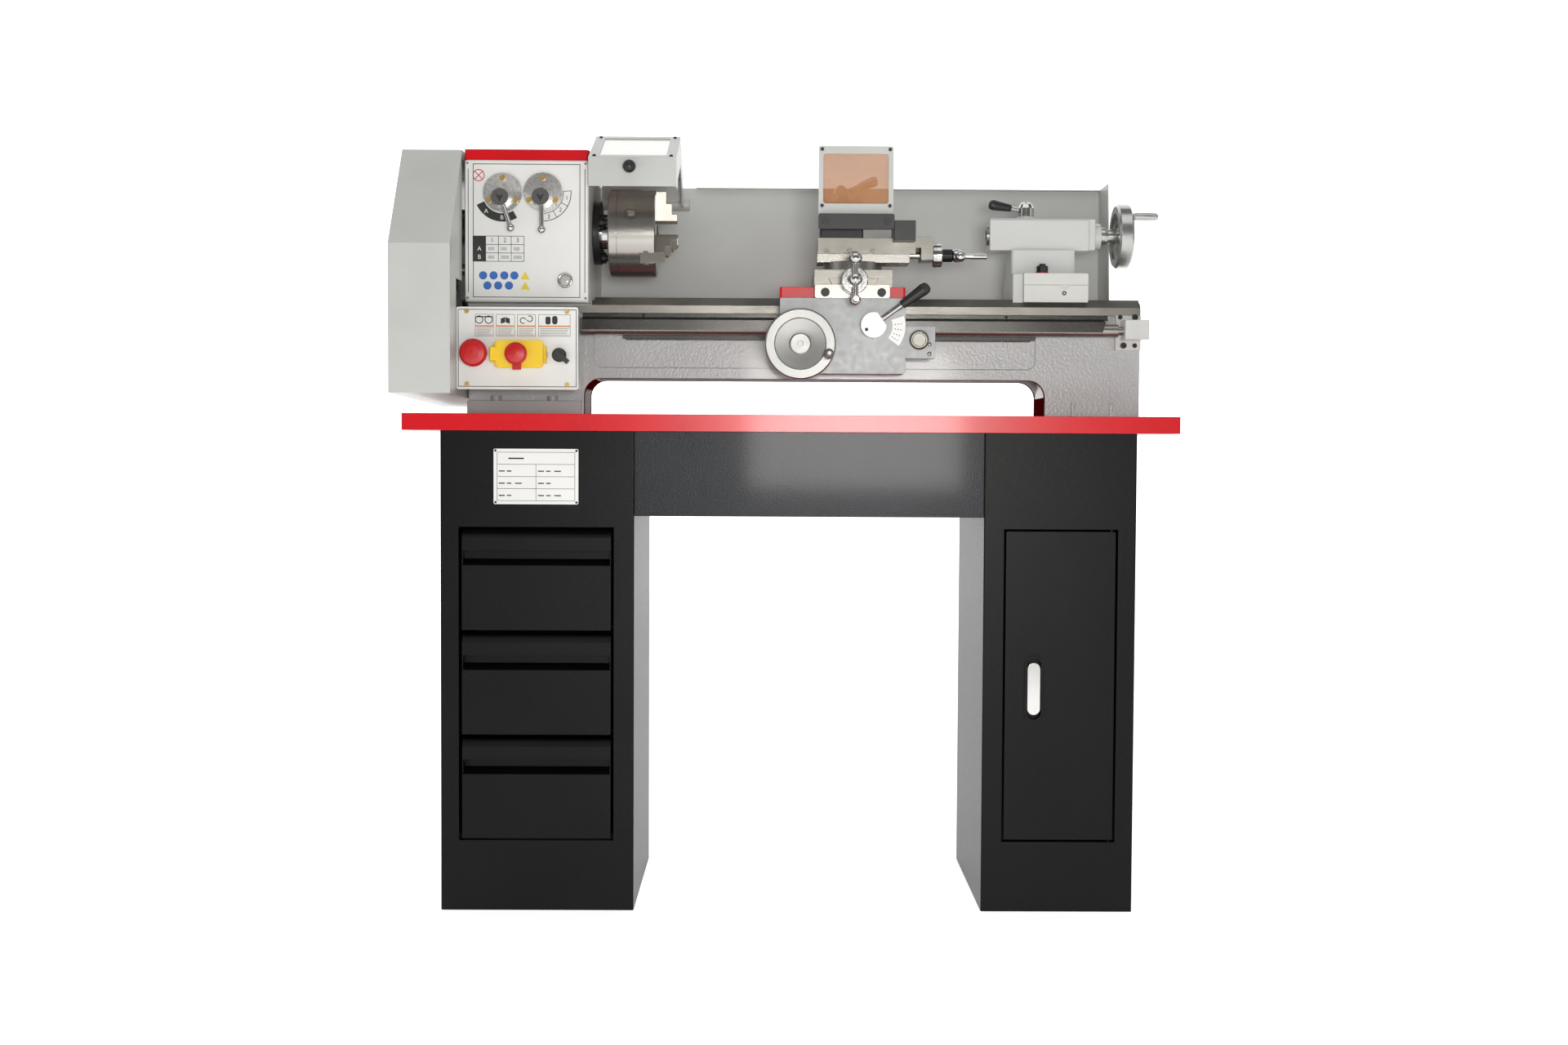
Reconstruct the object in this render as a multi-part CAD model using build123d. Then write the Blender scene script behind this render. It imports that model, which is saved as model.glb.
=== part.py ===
from build123d import *
import os
from math import atan2, ceil, cos, degrees, hypot, pi, radians, sin, sqrt, tan

# A small geared metal lathe on its sheet-steel stand.
# X runs along the bed from headstock to tailstock, Y runs from the operator to the back,
# Z is up. The spindle axis is at Y = 0 and the floor is at Z = 0 while the pieces are made.
# At the end everything is shifted so that the origin is the middle of the footprint.

# ------------------------------------------------------------------ overall sizes
cabinet_height = 654.0
cabinet_depth = 325.0
bed_length = 950.0
bed_width = 116.0
bed_height = 184.0
centre_height = 100.0
headstock_length = 173.0
chuck_diameter = 125.0

# ------------------------------------------------------------------ clearances
slide_gap = 0.2
running_gap = 0.05
seat_gap = 0.02
turn_gap = 0.4
belt_gap = 0.3

# ------------------------------------------------------------------ stand
sheet = 1.5
tray_sheet = 2.0
tray_rim = 23.0
tray_front_overhang = 10.0
tray_back_overhang = 60.0
tray_left_overhang = 70.0
tray_right_overhang = 31.0
cabinet_front = -175.0
left_cabinet_width = 262.3
right_cabinet_width = 207.0
left_cabinet_overhang = 19.3
right_cabinet_inset = 25.5
plinth_height = 96.0
header_height = 130.3
opening_side = 24.5
opening_inner_side = 27.5
frame_depth = 14.0
foot_flange = 28.0
floor_bolt_radius = 6.0
floor_bolt_inset = 14.0
drawer_count = 3
drawer_gap = 4.0
drawer_row_gap = 5.5
drawer_length = 300.0
drawer_box_inset = 4.0
drawer_wall_height = 88.0
finger_depth = 20.0
lip_height = 18.0
door_gap = 3.0
door_depth = 10.0
hinge_pin_radius = 2.5
latch_width = 26.0
latch_length = 91.0
apron_height = 115.0
apron_recess = 4.0
apron_flange = 24.0

# ------------------------------------------------------------------ bed
way_width = 36.0
way_height = 18.0
way_bevel = 7.0
ridge_height = 5.0
bed_wall = 12.0
bed_wall_inset = 4.0
beam_height = 110.0
left_foot_length = 159.5
arch_left_gap = 163.0
right_foot_length = 134.0
arch_radius = 24.0
rib_pitch = 125.0
rib_thickness = 9.0
base_block_height = 41.0
base_block_width = 140.0
bed_bolt_radius = 5.0
panel_depth = 2.0
rack_module = 1.0
rack_left_gap = 46.0
rack_right_gap = 150.0
rack_width = 12.0
rack_pitch_drop = 55.6
screw_radius = 9.0
screw_journal = 6.0
screw_drop = 41.0
screw_out = 22.0
guard_left_gap = 12.0
guard_right_gap = 46.0
bracket_length = 36.0

# ------------------------------------------------------------------ headstock
headstock_front = -90.0
headstock_back = 110.0
headstock_above_centre = 90.0
headstock_drop = 6.0
headstock_wall = 16.0
lid_height = 15.0
spindle_radius = 20.0
spindle_bore = 10.0
bearing_radius = 31.0
bearing_width = 16.0
nose_radius = 45.0
nose_thickness = 9.5
neck_length = 13.0
chuck_length = 67.0
chuck_bore = 16.0
jaw_width = 17.0
jaw_angles = (80.0, 200.0, 320.0)
jaw_start = 14.0
jaw_reach = 46.0
jaw_depth = 22.0
gear_module = 2.0
bull_teeth = 50
pinion_teeth = 25
input_angle = 25.0
input_radius = 10.0
gear_width = 18.0
change_module = 1.25
change_teeth = 40
screw_gear_teeth = 80
change_width = 10.0
big_pulley_radius = 50.0
small_pulley_radius = 25.0
pulley_flange = 6.0
belt_width = 10.0
belt_thickness = 5.0
motor_radius = 55.0
motor_length = 156.0
motor_y = 170.0
motor_drop = 110.0
lever_disc_radius = 27.0
lever_hub_radius = 12.0
lever_shaft_radius = 6.0
lever_length = 46.0

# ------------------------------------------------------------------ covers and electrics
cover_length = 83.0
cover_front = -190.0
cover_back = 237.0
cover_bottom_rise = 48.0
cover_flange = 48.0
cover_slope_start = 250.0
panel_front = -140.0
panel_width = 166.0
panel_height = 112.5
box_depth = 50.0
button_radius = 18.8
mushroom_radius = 15.0
knob_radius = 9.5
hood_length = 121.0
hood_front = -120.0
hood_pivot_y = 100.0
hood_pivot_rise = 55.0
hood_tube_radius = 9.0
hood_pin_radius = 5.0
splash_y = 130.0
splash_rise = 184.0
splash_bottom = -60.0
splash_lip = 7.0

# ------------------------------------------------------------------ carriage
saddle_length = 175.0
saddle_width = 200.0
saddle_thickness = 16.0
carriage_offset = 55.0
apron_front = -110.0
apron_wall = 12.0
apron_drop = 104.0
apron_side = 10.0
pinion_count = 20
handwheel_x = -59.3
handwheel_radius = 48.5
handwheel_plane = -150.0
wheel_shaft_radius = 7.0
lever_x = 42.0
half_nut_hub_radius = 17.5
dial_x = 106.0
dial_radius = 13.5
cross_x = 15.0
cross_width = 108.9
cross_front = -95.0
cross_length = 175.0
cross_rise = 41.0
dovetail_height = 12.5
dovetail_top = 69.0
feed_screw_radius = 5.0
feed_dial_radius = 18.5
swivel_radius = 42.0
compound_y = -55.0
compound_width = 56.0
compound_length = 137.0
compound_left = -49.5
swivel_height = 12.0
base_slide_height = 11.0
compound_height = 22.0
compound_dial_radius = 16.5
toolpost_side = 60.0
toolpost_x = -16.0
toolpost_height = 50.0
toolpost_slot = 20.0
post_radius = 10.0
post_stud = 8.0
guard_width = 105.0
guard_height = 97.0
guard_bar_height = 21.0
guard_pin_radius = 4.0
pane = 1.5

# ------------------------------------------------------------------ tailstock
tailstock_inset = 180.0
tail_base_length = 105.0
tail_base_height = 41.0
tail_column_length = 91.0
barrel_half = 23.0
barrel_length = 142.0
barrel_overhang = 30.0
quill_radius = 14.0
quill_bore = 8.0
quill_screw_radius = 6.0
tail_wheel_radius = 46.0
tail_rim = 13.0
lock_hub_radius = 11.8

# ------------------------------------------------------------------ places worked out from the sizes
bed_left = -425.0
bed_right = bed_left + bed_length
half_bed = bed_width / 2
tray_top = cabinet_height + tray_sheet
ways = tray_top + bed_height
axis_z = ways + centre_height
cabinet_back = cabinet_front + cabinet_depth
tray_front = cabinet_front - tray_front_overhang
tray_back = cabinet_back + tray_back_overhang
tray_left = bed_left - tray_left_overhang
tray_right = bed_right + tray_right_overhang
left_cabinet_x0 = bed_left - left_cabinet_overhang
left_cabinet_x1 = left_cabinet_x0 + left_cabinet_width
right_cabinet_x1 = bed_right - right_cabinet_inset
right_cabinet_x0 = right_cabinet_x1 - right_cabinet_width
opening_top = cabinet_height - header_height
drawer_open_x0 = left_cabinet_x0 + opening_side
drawer_open_x1 = left_cabinet_x1 - opening_inner_side
door_open_x0 = right_cabinet_x0 + opening_inner_side
door_open_x1 = right_cabinet_x1 - opening_side
drawer_pitch = (opening_top - plinth_height) / drawer_count
headstock_right = bed_left + headstock_length
headstock_top = axis_z + headstock_above_centre
bed_wall_front = -half_bed + bed_wall_inset
bed_wall_back = half_bed - bed_wall_inset
beam_bottom = ways - beam_height
arch_left = bed_left + arch_left_gap
arch_right = bed_right - right_foot_length
screw_y = -half_bed - screw_out
screw_z = ways - screw_drop
rack_pitch_z = ways - rack_pitch_drop
rack_left = headstock_right + rack_left_gap
rack_right = bed_right - rack_right_gap
tail_left = bed_right - tailstock_inset
carriage_x = (headstock_right + tail_left) / 2 + carriage_offset
saddle_top = ways + slide_gap + saddle_thickness
saddle_left = carriage_x - saddle_length / 2
saddle_right = carriage_x + saddle_length / 2
pinion_radius = rack_module * pinion_count / 2
wheel_x = carriage_x + handwheel_x
wheel_z = rack_pitch_z - pinion_radius
swivel_x = carriage_x + cross_x
cross_bottom = saddle_top + slide_gap
cross_top = ways + cross_rise
feed_z = saddle_top + 6.4
dial_rod_x = carriage_x + dial_x
dial_z = screw_z - screw_radius - 7.0
nut_lever_x = carriage_x + lever_x
nut_lever_z = screw_z + 3.3
swivel_z = cross_top + slide_gap
base_slide_z = swivel_z + swivel_height
compound_z = base_slide_z + base_slide_height + slide_gap
compound_top = compound_z + compound_height
compound_x0 = swivel_x + compound_left
compound_x1 = compound_x0 + compound_length
compound_screw_z = compound_z + 1.0
toolpost_cx = swivel_x + toolpost_x
toolpost_z = compound_top + slide_gap
toolpost_top = toolpost_z + toolpost_height
guard_axis_y = compound_y - toolpost_side * sqrt(2) / 2 - 11.5
guard_axis_z = compound_top + 19.5
guard_x0 = compound_x0
guard_x1 = guard_x0 + guard_width
nose_left = headstock_right + 0.5
nose_right = nose_left + nose_thickness
chuck_left = nose_right + neck_length
chuck_right = chuck_left + chuck_length
chuck_radius = chuck_diameter / 2
gear_distance = gear_module * (bull_teeth + pinion_teeth) / 2
input_y = gear_distance * cos(radians(input_angle))
input_z = axis_z + gear_distance * sin(radians(input_angle))
motor_z = axis_z - motor_drop
change_x0 = bed_left - 21.0
pulley_x0 = change_x0 - 24.0
gear_x0 = bed_left + 85.0
spindle_end = change_x0 - 3.0
cover_right = bed_left - 3.0
cover_left = cover_right - cover_length
cover_bottom = tray_top + cover_bottom_rise
cover_top = headstock_top + lid_height - 1.0
panel_left = bed_left - 2.5
panel_right = panel_left + panel_width
panel_bottom = ways - 129.5
panel_top = panel_bottom + panel_height
hood_left = headstock_right + 2.0
hood_right = hood_left + hood_length
hood_pivot_z = axis_z + hood_pivot_rise
splash_left = headstock_right - 7.0
splash_right = bed_right - 26.0
splash_top = ways + splash_rise
tail_column_top = axis_z - barrel_half
barrel_left = tail_left - barrel_overhang
barrel_right = barrel_left + barrel_length


# ------------------------------------------------------------------ shape helpers
def box(x0, x1, y0, y1, z0, z1):
    return Pos((x0 + x1) / 2, (y0 + y1) / 2, (z0 + z1) / 2) * Box(x1 - x0, y1 - y0, z1 - z0)


def rod_x(x0, x1, y, z, radius):
    return Pos((x0 + x1) / 2, y, z) * Rot(0, 90, 0) * Cylinder(radius, x1 - x0)


def rod_y(y0, y1, x, z, radius):
    return Pos(x, (y0 + y1) / 2, z) * Rot(90, 0, 0) * Cylinder(radius, y1 - y0)


def rod_z(z0, z1, x, y, radius):
    return Pos(x, y, (z0 + z1) / 2) * Cylinder(radius, z1 - z0)


def prism_x(points, x0, x1):
    """A polygon of (Y, Z) points drawn out along X."""
    face = Plane.YZ.offset(x0) * Polygon(*points, align=None)
    return extrude(face, amount=x1 - x0, dir=(1, 0, 0))


def prism_y(points, y0, y1):
    """A polygon of (X, Z) points drawn out along Y."""
    face = Plane.XZ.offset(-y0) * Polygon(*points, align=None)
    return extrude(face, amount=y1 - y0, dir=(0, 1, 0))


def prism_z(points, z0, z1):
    """A polygon of (X, Y) points drawn out along Z."""
    face = Plane.XY.offset(z0) * Polygon(*points, align=None)
    return extrude(face, amount=z1 - z0, dir=(0, 0, 1))


def bent(points, thickness):
    """The outline of a sheet bent along points, thickness laid to the left of the path."""
    offsets = []
    for i, (u, v) in enumerate(points):
        directions = []
        if i > 0:
            before = (u - points[i - 1][0], v - points[i - 1][1])
            directions.append((before[0] / hypot(*before), before[1] / hypot(*before)))
        if i < len(points) - 1:
            after = (points[i + 1][0] - u, points[i + 1][1] - v)
            directions.append((after[0] / hypot(*after), after[1] / hypot(*after)))
        normals = [(-d[1], d[0]) for d in directions]
        sum_u = sum(n[0] for n in normals)
        sum_v = sum(n[1] for n in normals)
        length = hypot(sum_u, sum_v)
        unit = (sum_u / length, sum_v / length)
        scale = thickness / (unit[0] * normals[0][0] + unit[1] * normals[0][1])
        offsets.append((u + unit[0] * scale, v + unit[1] * scale))
    return list(points) + offsets[::-1]


def hexagon(radius):
    return RegularPolygon(radius, 6)


def cap_screw(head_radius=4.0, head_height=4.0):
    """A socket head on the local XY plane, its socket opening towards +Z."""
    head = Pos(0, 0, head_height / 2) * Cylinder(head_radius, head_height)
    socket = extrude(hexagon(head_radius * 0.55), amount=head_height * 0.6, dir=(0, 0, 1))
    return head - Pos(0, 0, head_height * 0.45) * socket


def facing(x, y, z, toward, up=(0, 0, 1)):
    """The place of a shape whose local +Z points toward a direction and local +X points up."""
    return Plane(origin=(x, y, z), x_dir=up, z_dir=toward).location


def front_screw(x, y, z, head_radius=4.0, head_height=4.0):
    return facing(x, y, z, (0, -1, 0)) * cap_screw(head_radius, head_height)


def top_screw(x, y, z, head_radius=4.0, head_height=4.0):
    return Pos(x, y, z) * cap_screw(head_radius, head_height)


def turned(profile, place):
    """A turned piece: (radius, height) points spun about local Z and put in place."""
    face = Plane.XZ * Polygon(*profile, align=None)
    return place * revolve(face, Axis.Z, 360)


def gear_points(teeth, module, phase, backlash=0.25):
    """Tooth outline about the origin, with the middle of one tooth at the phase in degrees."""
    radius = module * teeth / 2
    pitch = 2 * pi / teeth
    thick = (pi * module / 2 - backlash) / radius
    base = thick / 2 + 1.0 * module * tan(radians(20)) / radius
    tip = thick / 2 - 0.95 * module * tan(radians(20)) / radius
    points = []
    for i in range(teeth):
        middle = radians(phase) + i * pitch
        steps = ((-base, -1.25), (-tip, 0.95), (tip, 0.95), (base, -1.25))
        for angle, height in steps:
            r = radius + height * module
            points.append((r * cos(middle + angle), r * sin(middle + angle)))
    return points


def gear_x(teeth, module, phase, y, z, x0, x1, bore):
    outline = [(y + u, z + v) for u, v in gear_points(teeth, module, phase)]
    return prism_x(outline, x0, x1) - rod_x(x0 - 1, x1 + 1, y, z, bore)


def mesh_phase(phase, teeth, mate_teeth, direction):
    """Phase of a mating gear that lies in a direction, in degrees, from the first gear."""
    offset = 0.5 - (direction - phase) * teeth / 360.0
    return direction + 180.0 - offset * 360.0 / mate_teeth


def tapered_grip(start, end, start_radius, end_radius):
    """A grip from start to end with a rounded far end."""
    direction = Vector(*end) - Vector(*start)
    length = direction.length
    side = (0, 1, 0) if abs(direction.normalized().Y) < 0.9 else (1, 0, 0)
    place = Plane(origin=start, x_dir=direction.cross(Vector(*side)), z_dir=direction).location
    profile = [(0, 0), (start_radius, 0), (end_radius, length * 0.8),
               (end_radius * 0.85, length * 0.94), (end_radius * 0.45, length), (0, length)]
    return turned(profile, place)


def bar_between(start, end, radius):
    direction = Vector(*end) - Vector(*start)
    side = (0, 1, 0) if abs(direction.normalized().Y) < 0.9 else (1, 0, 0)
    place = Plane(origin=start, x_dir=direction.cross(Vector(*side)), z_dir=direction).location
    return place * (Pos(0, 0, direction.length / 2) * Cylinder(radius, direction.length))


def ball(x, y, z, radius):
    return Pos(x, y, z) * Sphere(radius)


def group(*shapes):
    """Separate solids that one node holds."""
    solids = []
    for shape in shapes:
        solids.extend(shape.solids())
    return Compound(solids)


def rounded_y(shape, radius):
    return fillet(shape.edges().filter_by(Axis.Y), radius)


def rounded_z(shape, radius):
    return fillet(shape.edges().filter_by(Axis.Z), radius)


# ------------------------------------------------------------------ stand
def cabinet_shell(x0, x1, open_x0, open_x1, open_z0):
    """A folded steel box with a framed opening in front and bolt holes in its floor flange."""
    y0 = cabinet_front
    y1 = cabinet_back
    shell = box(x0, x1, y0, y1, 0, cabinet_height)
    shell = rounded_z(shell, 2.0)
    shell -= box(x0 + sheet, x1 - sheet, y0 + sheet, y1 - sheet, 3.0, cabinet_height - sheet)
    inner_x0 = x0 + foot_flange
    inner_x1 = x1 - foot_flange
    shell -= box(inner_x0, inner_x1, y0 + foot_flange, y1 - foot_flange, -1, 4.0)
    frame = box(open_x0 - sheet, open_x1 + sheet, y0 + sheet, y0 + frame_depth,
                open_z0 - sheet, opening_top + sheet)
    shell += frame
    shell -= box(open_x0, open_x1, y0 - 1, y0 + frame_depth + 1, open_z0, opening_top)
    for x in (x0 + floor_bolt_inset, x1 - floor_bolt_inset):
        for y in (y0 + floor_bolt_inset, y1 - floor_bolt_inset):
            shell -= rod_z(-1, 4.0, x, y, floor_bolt_radius)
    return shell


def left_cabinet():
    shell = cabinet_shell(left_cabinet_x0, left_cabinet_x1, drawer_open_x0, drawer_open_x1,
                          plinth_height)
    rail_y0 = cabinet_front + finger_depth + 5.0
    rail_y1 = cabinet_back - sheet
    for i in range(drawer_count):
        floor_z = drawer_bottom(i) - slide_gap
        left_edge = drawer_box_x0() - 0.5
        right_edge = drawer_box_x1() + 0.5
        shell += box(left_cabinet_x0 + sheet, left_edge + 10, rail_y0, rail_y1,
                     floor_z - 2.0, floor_z)
        shell += box(left_edge - 2.0, left_edge, rail_y0, rail_y1, floor_z, floor_z + 22)
        shell += box(right_edge - 10, left_cabinet_x1 - sheet, rail_y0, rail_y1,
                     floor_z - 2.0, floor_z)
        shell += box(right_edge, right_edge + 2.0, rail_y0, rail_y1, floor_z, floor_z + 22)
    return shell


def drawer_top(i):
    return opening_top - drawer_pitch * i - drawer_gap + 0.5


def drawer_bottom(i):
    return drawer_top(i) - (drawer_pitch - drawer_row_gap) + 4.0


def drawer_box_x0():
    return drawer_open_x0 + drawer_gap + drawer_box_inset


def drawer_box_x1():
    return drawer_open_x1 - drawer_gap - drawer_box_inset


def drawer(i):
    """A folded drawer with a finger lip along its top and a flat face below."""
    face_x0 = drawer_open_x0 + drawer_gap
    face_x1 = drawer_open_x1 - drawer_gap
    y0 = cabinet_front + 2.0
    top = drawer_top(i)
    face_z0 = top - (drawer_pitch - drawer_row_gap)
    lip_y = y0 - 1.0
    recess_y = y0 + finger_depth
    path = [(y0 + sheet, face_z0), (y0 + sheet, top - 50.0), (recess_y, top - 42.0),
            (recess_y, top - sheet), (lip_y + 8.0, top - sheet), (lip_y + sheet, top - 11.0),
            (lip_y + sheet, top - 11.0 - lip_height)]
    front = prism_x(bent(path, sheet), face_x0, face_x1)
    ends = prism_x([(y0, face_z0), (y0, top - 50.0), (lip_y + 2.0, top - 50.0),
                    (lip_y + 2.0, top - 11.0), (lip_y + 8.0, top - sheet),
                    (recess_y + sheet, top - sheet), (recess_y + sheet, face_z0)],
                   face_x0, face_x0 + sheet)
    front += ends
    front += Pos(face_x1 - face_x0 - sheet, 0, 0) * ends
    x0 = drawer_box_x0()
    x1 = drawer_box_x1()
    floor_z = drawer_bottom(i)
    tray = box(x0, x1, y0 + sheet, y0 + drawer_length, floor_z, floor_z + drawer_wall_height)
    tray -= box(x0 + sheet, x1 - sheet, y0, y0 + drawer_length - sheet,
                floor_z + sheet, floor_z + drawer_wall_height + 1)
    tray -= prism_x([(y0 - 1, top - 50.0), (recess_y + 1, top - 42.0), (recess_y + 1, top),
                     (y0 - 1, top)], x0 - 1, x1 + 1)
    return front + tray


def right_cabinet():
    shell = cabinet_shell(right_cabinet_x0, right_cabinet_x1, door_open_x0, door_open_x1,
                          plinth_height)
    pin_x, pin_y = door_pin()
    for z in (plinth_height, opening_top):
        shell -= rod_z(z - 5, z + 5, pin_x, pin_y, hinge_pin_radius + running_gap)
    return shell


def door_pin():
    return door_open_x1 - door_gap - door_depth / 2, cabinet_front + 1.0 + door_depth / 2


def latch_centre():
    return door_open_x0 + 42.4, opening_top - 217.6


def oval_y(x, z, width, length, y0, y1):
    """An upright oval drawn out along Y."""
    face = Plane.XZ.offset(-y0) * Pos(x, z) * SlotOverall(length, width, rotation=90)
    return extrude(face, amount=y1 - y0, dir=(0, 1, 0))


def cabinet_door():
    x0 = door_open_x0 + door_gap
    x1 = door_open_x1 - door_gap
    z0 = plinth_height + door_gap
    z1 = opening_top - door_gap
    y0 = cabinet_front + 1.0
    door = rounded_y(box(x0, x1, y0, y0 + door_depth, z0, z1), 2.0)
    door -= box(x0 + sheet, x1 - door_depth, y0 + sheet, y0 + door_depth + 1, z0 + sheet, z1 - sheet)
    pin_x, pin_y = door_pin()
    for base in (z0 - door_gap - 3, z1 - 3):
        door += rod_z(base + 1.5, base + 7.5, pin_x, pin_y, hinge_pin_radius)
    cx, cz = latch_centre()
    door -= oval_y(cx, cz, latch_width - 4, latch_length - 4, y0 - 1, y0 + sheet + 1)
    cup = oval_y(cx, cz, latch_width, latch_length, y0 - 1.5, y0)
    cup += oval_y(cx, cz, latch_width - 4, latch_length - 4, y0, y0 + 12)
    cup -= oval_y(cx, cz, latch_width - 7, latch_length - 7, y0 - 2, y0 + 10.5)
    return group(door, cup)


def door_latch():
    """The flush paddle in the oval cup, turning about a pin across its lower end."""
    cx, cz = latch_centre()
    y0 = cabinet_front + 1.0
    half = (latch_length - 7) / 2
    paddle = oval_y(cx, cz, latch_width - 9, latch_length - 20, y0 - 1.5, y0 + 2.5)
    paddle += box(cx - 5, cx + 5, y0, y0 + 7, cz - half + 10, cz - half + 18)
    return paddle


def centre_panel():
    """Folded front and back panels between the two cabinets."""
    z1 = cabinet_height
    z0 = cabinet_height - apron_height
    panels = []
    for y, side in ((cabinet_front + apron_recess, 1), (cabinet_back - apron_recess, -1)):
        path = [(y + side * apron_flange, z0), (y, z0), (y, z1), (y + side * apron_flange, z1)]
        outline = bent(path, -sheet * side)
        panel = prism_x(outline, left_cabinet_x1, right_cabinet_x0)
        panels.append(panel)
    return group(*panels)


def chip_tray():
    z0 = cabinet_height
    tray = box(tray_left, tray_right, tray_front, tray_back, z0, z0 + tray_rim)
    tray = rounded_z(tray, 3.0)
    tray -= box(tray_left + tray_sheet, tray_right - tray_sheet, tray_front + tray_sheet,
                tray_back - tray_sheet, tray_top, z0 + tray_rim + 1)
    hem = box(tray_left, tray_right, tray_front, tray_back, z0 + tray_rim - 3, z0 + tray_rim)
    hem = rounded_z(hem, 3.0)
    hem -= box(tray_left + 5, tray_right - 5, tray_front + 5, tray_back - 5, z0, z0 + tray_rim + 1)
    tray += hem
    for x in bed_bolt_places():
        for y in (-base_block_width / 2 + 12, base_block_width / 2 - 12):
            tray -= rod_z(z0 - 1, tray_top + 1, x, y, bed_bolt_radius + 0.5)
    return tray


# ------------------------------------------------------------------ bed
def bed_bolt_places():
    return (bed_left + 40, bed_left + left_foot_length - 40, arch_right + 40, bed_right - 40)


def bed():
    """A box-section casting on two feet, with two ground ways and an arch between the feet."""
    outline = Rectangle(bed_length, bed_height, align=(Align.MIN, Align.MIN))
    arch = Rectangle(arch_right - arch_left, beam_bottom - tray_top + 30, align=(Align.MIN, Align.MIN))
    arch = fillet(arch.vertices(), arch_radius)
    profile = Pos(bed_left, tray_top) * outline - Pos(arch_left, tray_top - 30) * arch
    face = Plane.XZ.offset(half_bed) * profile
    casting = extrude(face, amount=bed_width, dir=(0, 1, 0))
    hold = bed_wall_inset + 1
    for y0 in (-half_bed - 1, half_bed - bed_wall_inset):
        casting -= box(bed_left - 1, bed_right + 1, y0, y0 + hold, tray_top - 1, ways - way_height)
    for x in (bed_left + left_foot_length / 2, (arch_right + bed_right) / 2):
        length = left_foot_length if x < 0 else right_foot_length
        x0 = x - length / 2
        x1 = x + length / 2
        casting += box(x0, x1, -base_block_width / 2, base_block_width / 2,
                       tray_top, tray_top + (base_block_height if x < 0 else 12.0))
    inner_y0 = bed_wall_front + bed_wall
    inner_y1 = bed_wall_back - bed_wall
    slot_half = half_bed - way_width
    slot_x0 = headstock_right + 6
    slot_x1 = bed_right - 22
    casting -= box(slot_x0, slot_x1, -slot_half, slot_half, ways - way_height - 1, ways + 1)
    casting -= box(slot_x0, slot_x1, inner_y0, inner_y1, tray_top - 1, ways - way_height)
    casting -= box(bed_left + 14, slot_x0 - 14, inner_y0, inner_y1, tray_top - 1, ways - way_height)
    rib_count = int((slot_x1 - slot_x0) / rib_pitch)
    for i in range(1, rib_count + 1):
        x = slot_x0 + i * (slot_x1 - slot_x0) / (rib_count + 1)
        if x < arch_right - 20:
            casting += box(x - rib_thickness / 2, x + rib_thickness / 2, inner_y0, inner_y1,
                           beam_bottom + 12, ways - way_height - 20)
    casting += box(arch_right, arch_right + 12, inner_y0, inner_y1, tray_top, ways - way_height - 20)
    bevel = way_bevel
    for side in (-1, 1):
        edge = side * half_bed
        casting -= prism_x([(edge + side, ways - bevel), (edge + side, ways + 1),
                            (edge - side * (bevel + 1), ways + 1), (edge, ways - bevel)],
                           headstock_right + 1, bed_right + 1)
    for y in ridge_places():
        casting += prism_x([(y - ridge_height, ways), (y, ways + ridge_height),
                            (y + ridge_height, ways)], headstock_right + 4, bed_right)
    casting -= rounded_pocket(arch_left + 14, arch_right - 14, beam_bottom + 15, ways - 35)
    for x in bed_bolt_places():
        for y in (-base_block_width / 2 + 12, base_block_width / 2 - 12):
            casting -= rod_z(tray_top - 1, tray_top + base_block_height + 1, x, y, bed_bolt_radius)
    return casting


def ridge_places():
    """Y of the carriage ridge on the front way and the tailstock ridge on the back way."""
    return (-half_bed + way_width * 0.45, half_bed - way_width * 0.62)


def rounded_pocket(x0, x1, z0, z1):
    """The shallow cast panel in the front of the beam."""
    shape = RectangleRounded(x1 - x0, z1 - z0, 12)
    face = Plane.XZ.offset(-bed_wall_front + 1) * Pos((x0 + x1) / 2, (z0 + z1) / 2) * shape
    return extrude(face, amount=panel_depth + 1, dir=(0, 1, 0))


def feed_rack():
    """A toothed bar, teeth down, with a tooth gap straight above the carriage pinion."""
    pitch = pi * rack_module
    half = (pitch / 2 - 0.25) / 2
    lean = rack_module * tan(radians(20))
    root_z = rack_pitch_z + 1.25 * rack_module
    tip_z = rack_pitch_z - 0.9 * rack_module
    first = ceil((rack_left + 3 - wheel_x) / pitch) + 0.5
    count = int((rack_right - 3 - wheel_x) / pitch - first)
    points = [(rack_left, root_z + 9), (rack_left, root_z)]
    for i in range(count):
        middle = wheel_x + (first + i) * pitch
        points.append((middle - half - lean * 1.1, root_z))
        points.append((middle - half + lean * 0.9, tip_z))
        points.append((middle + half - lean * 0.9, tip_z))
        points.append((middle + half + lean * 1.1, root_z))
    points += [(rack_right, root_z), (rack_right, root_z + 9)]
    return prism_y(points, bed_wall_front - rack_width, bed_wall_front)


def screw_guard_outline():
    front = screw_y - screw_radius - 4.0
    wall = bed_wall_front
    return [(wall, ways - way_height - slide_gap), (wall, ways - 25), (front, ways - 31),
            (front, screw_z - 3)]


def leadscrew_guard():
    """A bent strip over the leadscrew, its right end cut on a slant."""
    x0 = headstock_right - guard_left_gap
    x1 = bed_right - guard_right_gap
    strip = prism_x(bent(screw_guard_outline(), -sheet), x0, x1)
    cut = prism_y([(x1 + 1, ways), (x1 - 1, ways), (x1 - 12, screw_z + 3), (x1 - 16, screw_z - 10),
                   (x1 + 1, screw_z - 10)], screw_y - 30, bed_wall_front - 4)
    return strip - cut


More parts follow.
